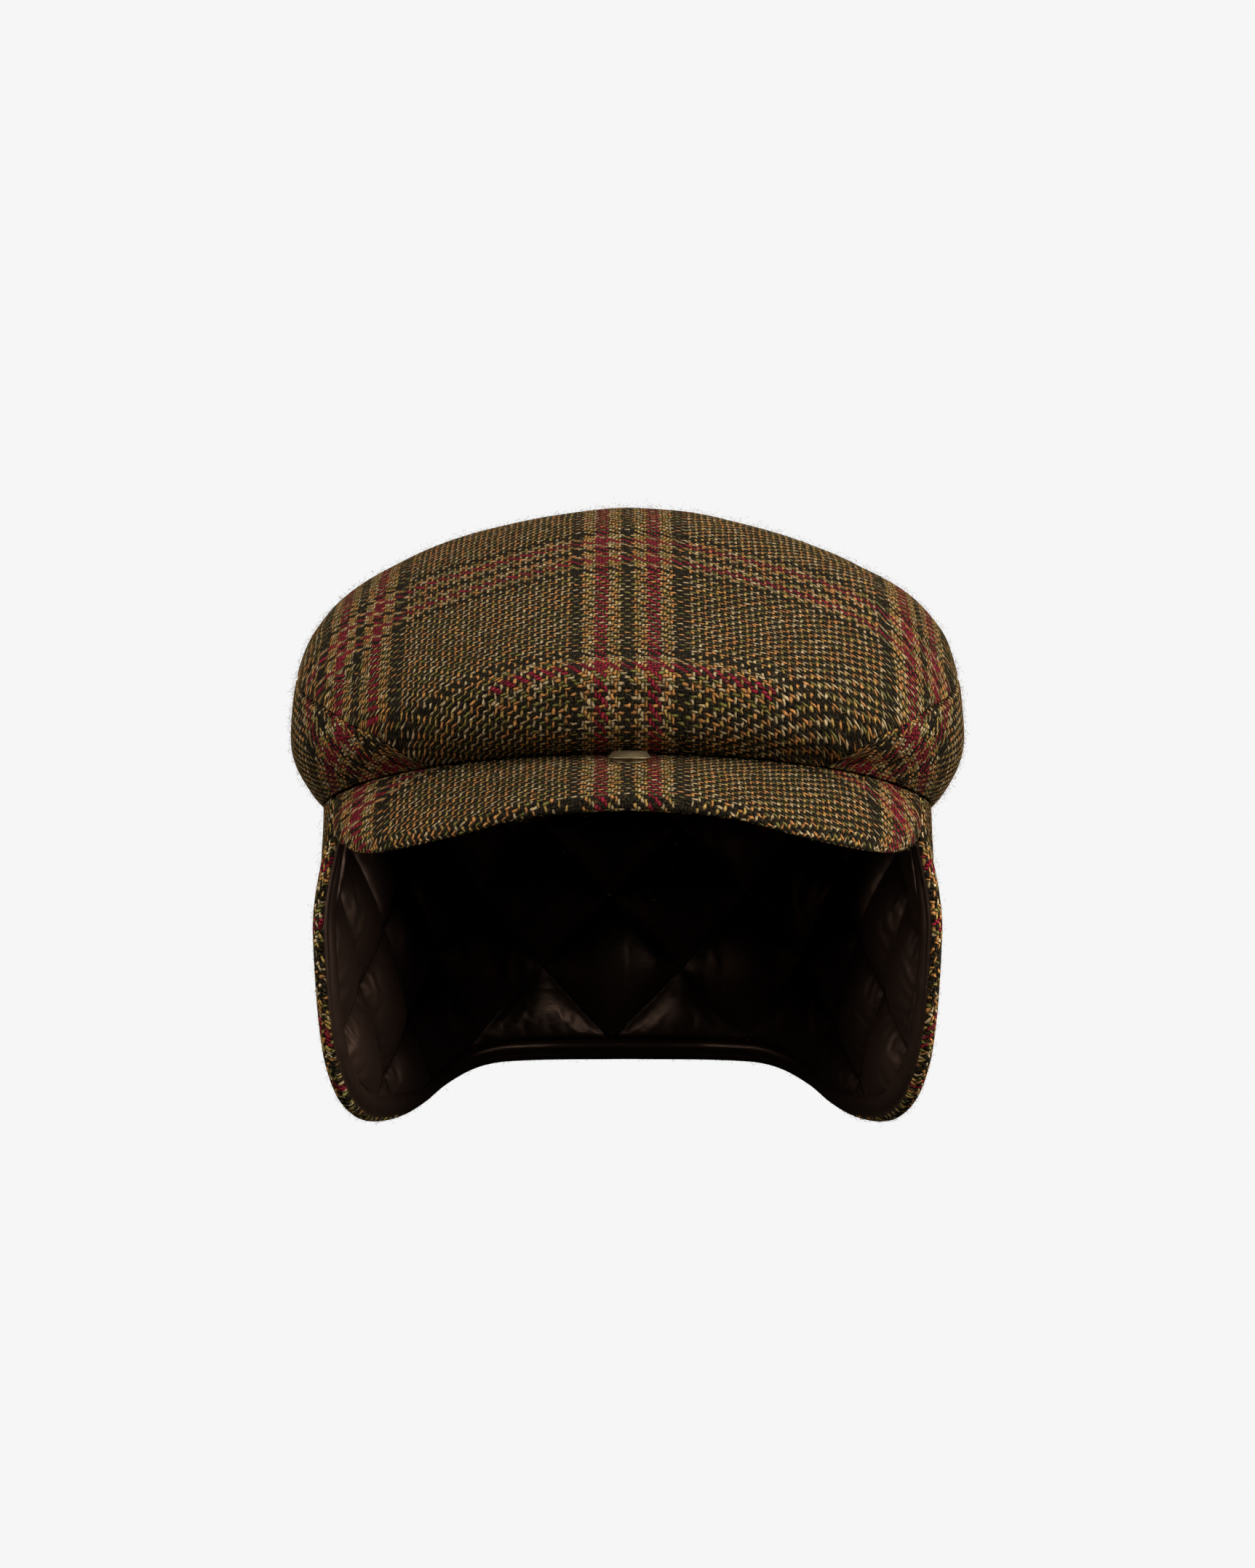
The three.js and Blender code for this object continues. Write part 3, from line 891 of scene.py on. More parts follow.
@dataclass(frozen=True)
class AntiqueBrass:
    """Brushed antique brass, darker where it is hardly rubbed."""

    colour: Colour = rgb(206, 188, 146)

    def material(self) -> bpy.types.Material:
        """Makes the finish."""
        nodes = Nodes("antique_brass")
        place = nodes.add("ShaderNodeTexCoord").outputs["Object"]
        brushing = nodes.noise(nodes.stretched(place, (400, 400, 6000)), 1.0, 3)
        patina = nodes.noise(place, 260, 4)
        dark = nodes.blend(patina, rgb(128, 110, 76), self.colour)
        rough = nodes.scaled(brushing, 0.2, 0.38)
        nodes.shade(brushing, 0.00003, 0.4, Base_Color=dark, Roughness=rough, Metallic=1.0)
        return nodes.material


@dataclass(frozen=True)
class WoolFibre:
    """Loose wool standing off the cloth, in the colours of its yarns."""

    yarns: tuple[tuple[float, Yarn], ...] = (
        (0.0, Yarn.UMBER),
        (0.46, Yarn.OLIVE),
        (0.51, Yarn.OCHRE),
        (0.57, Yarn.BEIGE),
        (0.66, Yarn.ORANGE),
    )

    def material(self) -> bpy.types.Material:
        """Makes the finish."""
        nodes = Nodes("wool_fibre")
        place = nodes.add("ShaderNodeTexCoord").outputs["Object"]
        stops = [(start, yarn.value) for start, yarn in self.yarns]
        colour = nodes.steps(nodes.noise(place, 420, 1), stops)
        nodes.shade(None, 0, 0, Base_Color=colour, Roughness=0.8, Specular_IOR_Level=0.2)
        return nodes.material


@dataclass(frozen=True)
class StageWhite:
    """The pale studio surface, which shows alike wherever it is seen from above."""

    level: float = 0.92

    def material(self) -> bpy.types.Material:
        """Makes the finish."""
        nodes = Nodes("stage")
        glow = nodes.add("ShaderNodeEmission")
        glow.inputs["Color"].default_value = (self.level, self.level, self.level, 1)
        nodes.wire(glow.outputs[0], nodes.output.inputs["Surface"])
        return nodes.material


# ---------------------------------------------------------------------------------------------
# Mesh making
# ---------------------------------------------------------------------------------------------
def linked(name: str, data: bpy.types.ID) -> Piece:
    """Puts an object into the scene."""
    made = bpy.data.objects.new(name, data)
    bpy.context.scene.collection.objects.link(made)
    return made


def meshed(bm: bmesh.types.BMesh, name: str) -> bpy.types.Mesh:
    """Turns a bmesh into a mesh, and frees it."""
    mesh = bpy.data.meshes.new(name)
    bm.to_mesh(mesh)
    bm.free()
    return mesh


def vertex_values(mesh: bpy.types.Mesh, name: str) -> Array:
    """Reads three numbers from each vertex."""
    values = np.zeros(len(mesh.vertices) * 3)
    mesh.vertices.foreach_get(name, values)
    return values.reshape(-1, 3)


def face_values(mesh: bpy.types.Mesh, name: str) -> Array:
    """Reads three numbers from each face."""
    values = np.zeros(len(mesh.polygons) * 3)
    mesh.polygons.foreach_get(name, values)
    return values.reshape(-1, 3)


def corner_vertices(mesh: bpy.types.Mesh) -> Array:
    """Reads the vertex at each corner of each face."""
    corner = np.zeros(len(mesh.loops), int)
    mesh.loops.foreach_get("vertex_index", corner)
    return corner


def laid_grid(
    name: str,
    columns: int,
    rows: int,
    place: Callable[[Array, Array], Placed],
) -> Piece:
    """Lays a grid of quads over a surface.

    Args:
        name: The piece's name.
        columns: Quads across.
        rows: Quads down.
        place: Gives points in millimetres and cloth places, from across and down in 0 to 1.
    Returns:
        The piece, smooth, with its cloth map.
    """
    grid = bmesh.new()
    bmesh.ops.create_grid(grid, x_segments=columns, y_segments=rows, size=0.5)
    mesh = meshed(grid, name)
    flat = vertex_values(mesh, "co") + 0.5
    points, cloth = place(np.clip(flat[:, 0], 0, 1), np.clip(flat[:, 1], 0, 1))
    mesh.vertices.foreach_set("co", (points * MM).ravel())
    layer = mesh.uv_layers.new(name=UV_CLOTH)
    layer.data.foreach_set("uv", (cloth[corner_vertices(mesh)] * MM).ravel())
    mesh.polygons.foreach_set("use_smooth", np.ones(len(mesh.polygons), bool))
    mesh.update()
    return linked(name, mesh)


def vertex_cloth(mesh: bpy.types.Mesh) -> Array:
    """Reads each vertex's place on the flat cloth, in millimetres."""
    flat = np.zeros(len(mesh.loops) * 2)
    mesh.uv_layers[UV_CLOTH].data.foreach_get("uv", flat)
    cloth = np.zeros((len(mesh.vertices), 2))
    cloth[corner_vertices(mesh)] = flat.reshape(-1, 2) / MM
    return cloth


def edge_vertices(mesh: bpy.types.Mesh) -> list[int]:
    """Lists the vertices on a sheet's edge."""
    bm = bmesh.new()
    bm.from_mesh(mesh)
    found = [vertex.index for vertex in bm.verts if vertex.is_boundary]
    bm.free()
    return found


def doubled(values: Array) -> Array:
    """Puts a smooth row between every two rows."""
    padded = np.concatenate([values[:1], values, values[-1:]])
    middle = (9 * (padded[1:-2] + padded[2:-1]) - padded[:-3] - padded[3:]) / 16
    rows = np.zeros((2 * len(values) - 1, values.shape[1]))
    rows[::2], rows[1::2] = values, middle
    return rows


def face_outward(piece: Piece, outward: Callable[[Array], Array]) -> None:
    """Turns a sheet over if its faces point the wrong way.

    Args:
        piece: The sheet.
        outward: Gives the outward direction at points in millimetres.
    """
    mesh = piece.data
    want = outward(face_values(mesh, "center") / MM)
    if np.sum(face_values(mesh, "normal") * want) < 0:
        mesh.flip_normals()


def thicken(piece: Piece, thickness: float) -> None:
    """Gives a sheet a wall, inwards from its face."""
    wall = piece.modifiers.new("wall", "SOLIDIFY")
    wall.thickness = thickness * MM
    wall.offset = -1
    wall.use_even_offset = False
    wall.use_rim = True


def dress(piece: Piece, material: bpy.types.Material, slot: str, *nodes: str) -> None:
    """Gives a piece its finish, body and place in the part.

    Args:
        piece: The piece.
        material: Its finish.
        slot: Not used.
        *nodes: The solids that it stands for.
    """
    piece.data.materials.clear()
    piece.data.materials.append(material)
    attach(piece, "root")
    if nodes:
        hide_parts(*nodes)
    LOG.info("%s: %d faces", piece.name, len(piece.data.polygons))


def cut_sheet(
    piece: Piece,
    flat: tuple[float, float],
) -> None:
    """Logs the flat size and area of a piece of cloth, before it is thickened.

    Args:
        piece: The sheet.
        flat: The width and length that its cut needs, in millimetres.
    """
    area = sum(face.area for face in piece.data.polygons)
    LOG.info("%s: flat %.0f x %.0f mm, %.5f m2", piece.name, *flat, area)


def disc(across: Array, down: Array) -> tuple[Array, Array]:
    """Bends a square of 0 to 1 into a disc.

    Args:
        across: Places across the square.
        down: Places down the square.
    Returns:
        The radius from 0 to 1, and the angle in degrees from the front.
    """
    x, y = 2 * across - 1, 2 * down - 1
    east, north = x * np.sqrt(1 - y * y / 2), y * np.sqrt(1 - x * x / 2)
    return np.clip(np.hypot(east, north), 0, 1), np.degrees(np.arctan2(east, -north))


def strands(
    name: str,
    starts: Array,
    ends: Array,
    radius: float,
    curl: Array | None = None,
) -> Piece:
    """Makes many short closed strands, as one mesh.

    Args:
        name: The piece's name.
        starts: Where each strand starts.
        ends: Where it would end if it were straight.
        radius: Its thickest radius.
        curl: How far its end bends aside.
    Returns:
        The piece.
    """
    around, thickest = np.arange(3) * math.tau / 3, 0.45
    middle = stack(np.cos(around), np.sin(around), np.full(3, thickest))
    shape = np.concatenate([np.array([[0, 0, 0.0], [0, 0, 1.0]]), middle])
    faces = np.array([[0, 3, 2], [0, 4, 3], [0, 2, 4], [1, 2, 3], [1, 3, 4], [1, 4, 2]])
    run = ends - starts
    bent = np.zeros_like(run) if curl is None else curl
    t = shape[None, :, 2:3]
    line = starts[:, None] + run[:, None] * t + bent[:, None] * t * t
    side = unit(np.cross(run, bent + np.array([0.31, 0.17, 0.93])))
    up = unit(np.cross(run, side))
    section = side[:, None] * shape[None, :, 0:1] + up[:, None] * shape[None, :, 1:2]
    line = line + radius * section
    index = faces[None] + np.arange(len(starts))[:, None, None] * len(shape)
    mesh = bpy.data.meshes.new(name)
    mesh.vertices.add(len(starts) * len(shape))
    mesh.vertices.foreach_set("co", (line * MM).ravel())
    mesh.loops.add(index.size)
    mesh.loops.foreach_set("vertex_index", index.ravel())
    mesh.polygons.add(index.size // 3)
    mesh.polygons.foreach_set("loop_start", np.arange(0, index.size, 3))
    mesh.polygons.foreach_set("loop_total", np.full(index.size // 3, 3))
    mesh.update(calc_edges=True)
    return linked(name, mesh)


# ---------------------------------------------------------------------------------------------
# Sub-assemblies
# ---------------------------------------------------------------------------------------------
@dataclass
class Crown:
    """The tweed crown: a top panel and two side panels sewn to it."""

    form: CrownForm
    tweed: bpy.types.Material
    wall: float = 1.6
    top_quads: int = 150
    side_columns: int = 160
    side_rows: int = 42
    seam_roll: float = 0.9
    slack: tuple[Slack, ...] = (Slack(0.45, 34, 3.1), Slack(0.22, 13, 8.7))
    stripe_ahead: float = 57.4
    bow: float = 8.5
    bow_width: float = 50.0
    bow_end: float = 134.0
    bow_fade: float = 74.0
    warp_places: Table = Table(
        ("x", "u"),
        (
            (-96, -107),
            (-90, -101),
            (-79, -87.5),
            (-69, -73.5),
            (-45, -46),
            (0, 0),
            (45, 43),
            (78, 73.5),
            (85.5, 87.5),
            (92, 98),
            (96, 106),
        ),
    )
    side_lean: float = 45.0
    side_crossing: tuple[float, float] = (23.2, 4.8)
    side_shift: tuple[float, float] = (-7.0, 7.5)
    side_radius: float = 98.0
    tip_gap: float = 0.2
    back_gap: float = 0.2
    creases: tuple[Crease, ...] = (
        Crease((-54.0, 0.50), (-43.0, 0.435), 1.7, 1.6),
        Crease((-50.0, 0.515), (-39.5, 0.44), 1.6, 1.5),
        Crease((-25.0, 0.155), (-36.5, 0.24), 3.5, 0.9),
        Crease((29.0, 0.365), (46.0, 0.40), 3.5, 1.3),
        Crease((20.0, 0.13), (47.0, 0.10), 4.0, 1.0),
        Crease((44.0, 0.09), (66.0, 0.30), 3.5, 1.3),
    )

    def relief(self, angle: Array, level: Array) -> Array:
        """Gives how far folds and slack cloth move the surface outwards."""
        points = self.form.point(angle, level)
        moved = slackness(points, self.slack)
        for crease in self.creases:
            start = self.form.point(np.array(crease.start[0]), np.array(crease.start[1]))
            end = self.form.point(np.array(crease.end[0]), np.array(crease.end[1]))
            run = end - start
            share = np.clip(np.sum((points - start) * run, axis=-1) / np.sum(run * run), 0, 1)
            off = np.linalg.norm(points - start - share[..., None] * run, axis=-1)
            fade = np.sin(np.pi * np.clip(share, 0.12, 0.88))
            moved = moved - crease.depth * fade * np.exp(-((off / crease.width) ** 2))
        return moved

    def placed(self, angle: Array, level: Array, to_seam: Array) -> Array:
        """Finds finished points, rolled under towards a seam."""
        roll = np.clip(1 - to_seam / self.seam_roll, 0, 1)
        sunk = self.seam_roll * (1 - np.sqrt(np.maximum(1 - roll**2, 0)))
        out = self.relief(angle, level) * np.clip(to_seam / 3, 0, 1) - sunk
        return self.form.point(angle, level) + self.form.outward(angle, level) * out[..., None]

    def build_top(self) -> Piece:
        """Makes the top panel, which turns down at the front as far as the peak."""

        def place(across: Array, down: Array) -> Placed:
            """Spreads the disc from the top to the panel's edge."""
            radius, angle = disc(across, down)
            seam = self.form.seam_level(angle)
            whole = self.form.way_down(angle, seam)
            way = radius * whole
            level = self.form.level_at(angle, way)
            points = self.placed(angle, level, whole - way + np.where(seam > 0, 0, 3))
            turn = np.radians(angle)
            ahead = way * np.cos(turn)
            wide = smoothstep(np.abs(points[:, 0]) / self.bow_width)
            share = mix(-0.25, 1.0, smoothstep((self.bow_end - ahead) / self.bow_fade))
            column = self.warp_places.at(points[:, 0])["u"]
            return points, stack(column, self.stripe_ahead - ahead + self.bow * wide * share)

        piece = laid_grid("crown_top_panel", self.top_quads, self.top_quads, place)
        face_outward(piece, lambda p: p - HEAD_CENTRE)
        middle, side = np.array([0.0, 180.0]), np.array([90.0])
        seams = self.form.seam_level(middle), self.form.seam_level(side)
        long = float(np.sum(self.form.way_down(middle, seams[0])))
        wide = float(np.sum(self.form.way_down(side, seams[1]))) * 2
        cut_sheet(piece, (wide, long))
        thicken(piece, self.wall)
        dress(piece, self.tweed, "tweed", "crown_top")
        return piece

    def build_side(self, side: int) -> Piece:
        """Makes a side panel.

        Args:
            side: 1 for the wearer's left, -1 for the right.
        Returns:
            The panel.
        """
        form = self.form
        lean = math.radians(self.side_lean)
        start = form.seam.rows[0][0] + self.tip_gap
        cos, sin = math.cos(lean), math.sin(lean)

        def place(across: Array, down: Array) -> Placed:
            """Runs from the front tip to the centre back, and from the seam down."""
            turn = mix(start, 180, across)
            top = form.seam_level(turn)
            level = top * (1 - down)
            drop = form.way_down(turn, level) - form.way_down(turn, top)
            back = (180 - turn) / 180 * math.pi * self.side_radius
            whole = form.way_down(turn, level * 0) - form.way_down(turn, top)
            hem = np.where(down > 0.98, 3, 0) * (whole > 0)
            points = self.placed(turn * side, level, np.minimum(drop, back + self.back_gap) + hem)
            run = np.radians(turn - start) * self.side_radius - self.side_crossing[0]
            fall = drop - self.side_crossing[1]
            cloth = stack(run * cos + fall * sin, run * sin - fall * cos)
            return points, cloth + np.array(self.side_shift)

        name = "left" if side > 0 else "right"
        piece = laid_grid(f"crown_side_panel_{name}", self.side_columns, self.side_rows, place)
        face_outward(piece, lambda p: p - HEAD_CENTRE)
        turn = np.linspace(start, 180, 40)
        fall = form.way_down(turn, turn * 0) - form.way_down(turn, form.seam_level(turn))
        wide = math.radians(180 - start) * self.side_radius
        cut_sheet(piece, (wide, float(fall.max())))
        thicken(piece, self.wall)
        dress(piece, self.tweed, "tweed", f"crown_side_{name}")
        return piece


@dataclass(frozen=True)
class Quilting:
    """A diamond quilt: a padded sheet held along its stitch lines, and puffed up between them."""

    diagonal: float = 43.0
    shift: tuple[float, float] = (-5.0, -71.0)
    held: float = 0.9
    start: float = 1.0
    pressure: float = 700.0
    slack: float = 0.02
    frames: int = 16
    highest: float = 5.5
    groove: float = 1.5
    soft: float = 0.5
    dome: float = 3.4

    def from_stitches(self, cloth: Array) -> Array:
        """Gives the distance to the nearest stitch line.

        Args:
            cloth: Places on the flat cloth.
        Returns:
            One distance a place.
        """
        u, v = cloth[..., 0] - self.shift[0], cloth[..., 1] - self.shift[1]
        nearest = np.full(u.shape, np.inf)
        for way in (u + v, u - v):
            off = np.abs((way / self.diagonal + 0.5) % 1 - 0.5) * self.diagonal / math.sqrt(2)
            nearest = np.minimum(nearest, off)
        return nearest

    def puff(self, cloth: Array) -> Array:
        """Gives the share of the dome's height, which falls off steeply at the stitches."""
        u, v = cloth[..., 0] - self.shift[0], cloth[..., 1] - self.shift[1]
        across = np.sin(math.pi * (u + v) / self.diagonal) * np.sin(math.pi * (u - v) / self.diagonal)
        return np.abs(across) ** 0.45

    def lay(
        self,
        name: str,
        columns: int,
        rows: int,
        place: Callable[[Array, Array], Placed],
        towards: Callable[[Array], Array],
    ) -> Piece:
        """Makes a quilted sheet, its padding puffed up by simulating its cloth.

        Args:
            name: The piece's name.
            columns: Quads across the simulated sheet, half as many as on the piece.
            rows: Quads down.
            place: Gives points and cloth places, from across and down.
            towards: Gives, for a point, the side that its face looks to.
        Returns:
            The piece.
        """
        sheet = laid_grid(f"{name}_sheet", columns, rows, place)
        face_outward(sheet, towards)
        flat, normal = vertex_values(sheet.data, "co"), vertex_values(sheet.data, "normal")
        off = self.from_stitches(vertex_cloth(sheet.data))
        inner = np.ones(len(off))
        inner[edge_vertices(sheet.data)] = 0
        rise = np.clip(off / 6, 0, 1) * inner * self.start * MM
        sheet.data.vertices.foreach_set("co", (flat + normal * rise[:, None]).ravel())
        held = sheet.vertex_groups.new(name="held")
        fixed = np.nonzero((off < self.held) | (inner == 0))[0]
        held.add([int(i) for i in fixed], 1.0, "REPLACE")
        rise = self.simulate(sheet, held.name, flat, normal)
        bpy.data.objects.remove(sheet)
        piece = laid_grid(name, columns * 2, rows * 2, place)
        face_outward(piece, towards)
        rise = doubled(doubled(rise.reshape(rows + 1, columns + 1)).T).T.ravel()
        cloth = vertex_cloth(piece.data)
        dome = self.puff(cloth) * self.dome * MM
        dome[edge_vertices(piece.data)] = 0
        groove = self.from_stitches(cloth) * self.groove * MM
        rise = np.minimum(rise * self.soft + dome, groove)[:, None]
        points = vertex_values(piece.data, "co") + vertex_values(piece.data, "normal") * rise
        piece.data.vertices.foreach_set("co", points.ravel())
        piece.data.update()
        return piece

    def simulate(self, piece: Piece, held: str, flat: Array, normal: Array) -> Array:
        """Runs the cloth, and reads how far it rose.

        Args:
            piece: The sheet.
            held: The group of its vertices that stay.
            flat: Where its vertices lay.
            normal: Their normals.
        Returns:
            The rise of each vertex along its normal.
        """
        cloth = piece.modifiers.new("cloth", "CLOTH")
        settings = cloth.settings
        settings.quality = 5
        settings.mass = 0.01
        settings.tension_stiffness = settings.compression_stiffness = 15
        settings.shear_stiffness = 7.5
        settings.bending_stiffness = 0.3
        settings.use_pressure = True
        settings.uniform_pressure_force = self.pressure
        settings.vertex_group_mass = held
        settings.shrink_min = settings.shrink_max = -self.slack
        settings.effector_weights.gravity = 0
        cloth.collision_settings.use_collision = False
        cloth.point_cache.frame_start = 1
        cloth.point_cache.frame_end = self.frames
        for number in range(1, self.frames + 1):
            bpy.context.scene.frame_set(number)
        result = piece.evaluated_get(bpy.context.evaluated_depsgraph_get()).to_mesh()
        moved = np.zeros(flat.size)
        result.vertices.foreach_get("co", moved)
        piece.modifiers.remove(cloth)
        bpy.context.scene.frame_set(1)
        rise = np.sum((moved.reshape(-1, 3) - flat) * normal, axis=1)
        return np.clip(rise, -0.4 * MM, self.highest * MM)


@dataclass
class CrownLining:
    """The quilted satin inside the crown."""

    form: CrownForm
    satin: bpy.types.Material
    depth: float = 4.6
    centre_z: float = 18.0
    quads: int = 84
    quilting: Quilting = Quilting(highest=2.6, dome=0.7)

    def build(self) -> Piece:
        """Makes the lining."""

        def place(across: Array, down: Array) -> Placed:
            """Spreads the disc from the top to just above the opening."""
            radius, angle = disc(across, down)
            way = radius * self.form.way_down(angle, np.full_like(angle, 0.012))
            level = self.form.level_at(angle, way)
            turn = np.radians(angle)
            outside = self.form.point(angle, level)
            points = outside - unit(outside - np.array([0.0, 0.0, self.centre_z])) * self.depth
            return points, stack(way * np.sin(turn), -way * np.cos(turn))

        name, quads = "crown_quilted_lining", self.quads
        piece = self.quilting.lay(name, quads, quads, place, lambda p: HEAD_CENTRE - p)
        dress(piece, self.satin, "satin", "crown_lining")
        return piece


@dataclass
class Peak:
    """The cloth-covered peak, with a rounded edge."""

    form: PeakForm
    tweed: bpy.types.Material
    columns: int = 200
    rows: int = 88
    front_band: float = 159.8
    edge_share: float = 0.3
    slack: tuple[Slack, ...] = (Slack(0.22, 24, 1.7),)

    def build(self) -> Piece:
        """Makes the peak, wrapped from its root over the edge and back under."""
        form = self.form
        radius = form.thickness / 2

        def place(across: Array, down: Array) -> Placed:
            """Runs round the section: over the top, round the edge, and back."""
            turn = mix(-90.0, 90.0, across)
            zero = np.zeros_like(turn)
            edge, root = form.point(turn, zero + 1, zero), form.point(turn, zero, zero)
            width = np.linalg.norm(edge - root, axis=-1)
            rim = np.minimum(radius, width * 0.4) / width
            part = self.edge_share
            side = 1 - 2 * down
            flat = np.abs(side) > part
            bend = np.clip(np.abs(side) / part, 0, 1) * math.pi / 2
            near = (1 - rim) * (1 - (np.abs(side) - part) / (1 - part))
            out = np.where(flat, near, 1 - rim + rim * np.cos(bend))
            above = np.sign(side) * radius * np.where(flat, 1, np.sin(bend))
            ragged = form.point(turn, out, zero)
            points = form.point(turn, out, above + slackness(ragged, self.slack))
            run = form.point(turn + 1, zero + 1, zero) - form.point(turn - 1, zero + 1, zero)
            away = unit(stack(run[:, 1], -run[:, 0], zero))[:, :2]
            shoulder = form.point(turn, 1 - rim, zero)[:, :2]
            past = np.where(side > 0, math.pi / 2 - bend, math.pi / 2 + bend) * radius
            under = past + (1 - rim - near) * width
            wrapped = shoulder + away * np.where(flat, under, past)[:, None]
            cloth = np.where((flat & (side > 0))[:, None], points[:, :2], wrapped)
            return points, cloth + np.array([0, self.front_band])

        piece = laid_grid("tweed_peak", self.columns, self.rows, place)
        bm = bmesh.new()
        bm.from_mesh(piece.data)
        rim = [e for e in bm.edges if e.is_boundary]
        bmesh.ops.holes_fill(bm, edges=rim, sides=0)
        bmesh.ops.recalc_face_normals(bm, faces=bm.faces)
        bm.to_mesh(piece.data)
        bm.free()
        dress(piece, self.tweed, "tweed", "peak")
        return piece


@dataclass
class Flap:
    """The ear and neck flap: tweed outside, quilted satin inside, and a facing round the edge."""

    form: FlapForm
    tweed: bpy.types.Material
    satin: bpy.types.Material
    quilted: bpy.types.Material
    # a copy of the tweed with painted light, lighter all over, for the turned edge
    painted_light_edge_tweed: bpy.types.Material
    half_edge: float = 2.2
    tweed_turn: Table = Table(
        ("way", "turn"),
        (
            (0, 104),
            (50, 110),
            (80, 130),
            (100, 152),
            (130, 162),
            (160, 156),
            (180, 134),
            (200, 122),
            (250, 116),
        ),
    )
    columns: int = 260
    rows: int = 56
    turn_rows: int = 10
    stripe_down: float = -147.5
    quilting: Quilting = Quilting()
    lining_depth: float = 3.1
    lining_columns: int = 200
    lining_rows: int = 48
    edge_columns: int = 460
    facing_rows: int = 26
    wall: float = 1.2
    edge_wall: float = 0.9
    facing_wall: float = 0.4
    flat: tuple[float, float] = (376, 112)
    facing_flat: tuple[float, float] = (496, 12)
    facing_overlap: float = 6.0
    slack: tuple[Slack, ...] = (Slack(0.5, 30, 6.1), Slack(0.2, 12, 2.3))
    ripple: Slack = Slack(0.25, 7, 9.2)
    stitch_pitch: float = 2.6
    stitch_length: float = 1.7
    stitch_radius: float = 0.32
    facing_width: Table = Table(
        ("way", "width"),
        ((0, 4.4), (50, 4.6), (90, 5.4), (130, 6.6), (170, 8.0), (210, 8.6), (250, 8.6)),
    )

    def relief(self, along: Array, z: Array) -> Array:
        """Gives how slack cloth moves the flap's outside."""
        return slackness(self.form.on_plan(along, z), self.slack)

    def build_outside(self) -> Piece:
        """Makes the tweed outside as far as the start of its rounded edge.

        Args:
        Returns:
            The piece.
        """

        def place(across: Array, down: Array) -> Placed:
            """Runs from one front edge round the nape to the other, and from the top down."""
            signed = 2 * across - 1
            along, z = self.form.on_side(signed, self.form.grid(np.abs(signed), down, self.half_edge))
            slack = self.relief(along, z) * np.clip(down * 8, 0, 1) * np.clip((1 - down) * 10, 0, 1)
            slack = slack * np.clip((1 - np.abs(signed)) * 20, 0, 1)
            return self.form.point(along, z, -slack), self.form.cloth_uv(along, z - self.stripe_down)

        piece = laid_grid("flap_tweed", self.columns, self.rows, place)
        face_outward(piece, lambda p: p * LEVEL)
        cut_sheet(piece, self.flat)
        thicken(piece, self.wall)
        dress(piece, self.tweed, "tweed", "flap")
        return piece

    def station(self, share: Array, inset: Array) -> Array:
        """Finds how far round the edge a share of its half is."""
        return share * self.form.top_way(inset)

    def edge_points(self, across: Array, angle: Array, extra: Array) -> tuple[Array, Array, Array]:
        """Finds points of the rounded edge.

        Args:
            across: From one front top 0 to the other 1.
            angle: Degrees round the edge, 0 on the outside and 180 on the inside.
            extra: How far on from there, along the inside.
        Returns:
            Points, the way along the edge, and the inset.
        """
        signed = 2 * across - 1
        turn = np.radians(angle)
        inset = self.half_edge * (1 - np.sin(turn)) + extra
        depth = self.half_edge * (1 - np.cos(turn))
        way = self.station(np.abs(signed), inset)
        along, z = self.form.on_side(signed, self.form.edge_at(way, inset))
        return self.form.point(along, z, depth), way * np.sign(signed), inset

    def build_edge(self) -> Piece:
        """Makes the tweed turned round the free edge."""

        def place(across: Array, down: Array) -> Placed:
            """Runs along the edge, and round it."""
            signed = 2 * across - 1
            angle = down * self.tweed_turn.at(np.abs(signed) * self.form.whole_way)["turn"]
            points, way, inset = self.edge_points(across, angle, angle * 0)
            far, none = np.abs(way), inset * 0
            along, z = self.form.on_side(signed, self.form.edge_at(far, inset))
            beyond = np.radians(angle) * self.half_edge
            cloth = self.form.cloth_uv(along, z - self.stripe_down)
            run = self.form.edge_at(far, none) - self.form.edge_at(far, none + 1)
            run = run * stack(side_of(signed), np.ones_like(signed))
            return points, cloth + run * beyond[:, None]

        piece = laid_grid("flap_tweed_edge", self.edge_columns, self.turn_rows, place)
        face_outward(piece, lambda p: p * LEVEL - np.array([0, 0, 60]))
        thicken(piece, self.edge_wall)
        dress(piece, self.painted_light_edge_tweed, "tweed", "flap")
        return piece

    def build_facing(self) -> Piece:
        """Makes the plain satin strip, rolled round the inside of the edge."""

        def place(across: Array, down: Array) -> Placed:
            """Runs along the edge, and from the tweed's end to the seam."""
            signed = 2 * across - 1
            rough = np.abs(signed) * self.form.whole_way
            width = self.facing_width.at(rough)["width"]
            turn = self.tweed_turn.at(rough)["turn"]
            first = turn - self.facing_overlap
            arc = np.radians(180 - first) * self.half_edge
            far = down * (arc + width)
            angle = np.minimum(first + np.degrees(far / self.half_edge), 180)
            extra = np.maximum(far - arc, 0)
            points, way, inset = self.edge_points(across, angle, extra)
            along, z = self.form.on_side(signed, self.form.edge_at(np.abs(way), inset))
            body = np.clip(extra / width, 0, 1)
            swell = 1.5 * np.sin(np.pi * np.clip(body * 1.05, 0, 1)) ** 0.8
            sunk = 1.8 * smoothstep((body - 0.82) / 0.18)
            ripple = slackness(stack(way, extra * 0.5, way * 0), (self.ripple,)) * np.clip(extra, 0, 1)
            lift = self.form.inward(along, z) * (swell - sunk + ripple)[:, None]
            return points + lift, stack(way, extra)

        piece = laid_grid("flap_satin_facing", self.edge_columns, self.facing_rows, place)
        face_outward(piece, lambda p: -p * LEVEL)
        cut_sheet(piece, self.facing_flat)
        thicken(piece, self.facing_wall)
        dress(piece, self.satin, "satin", "flap_facing")
        return piece

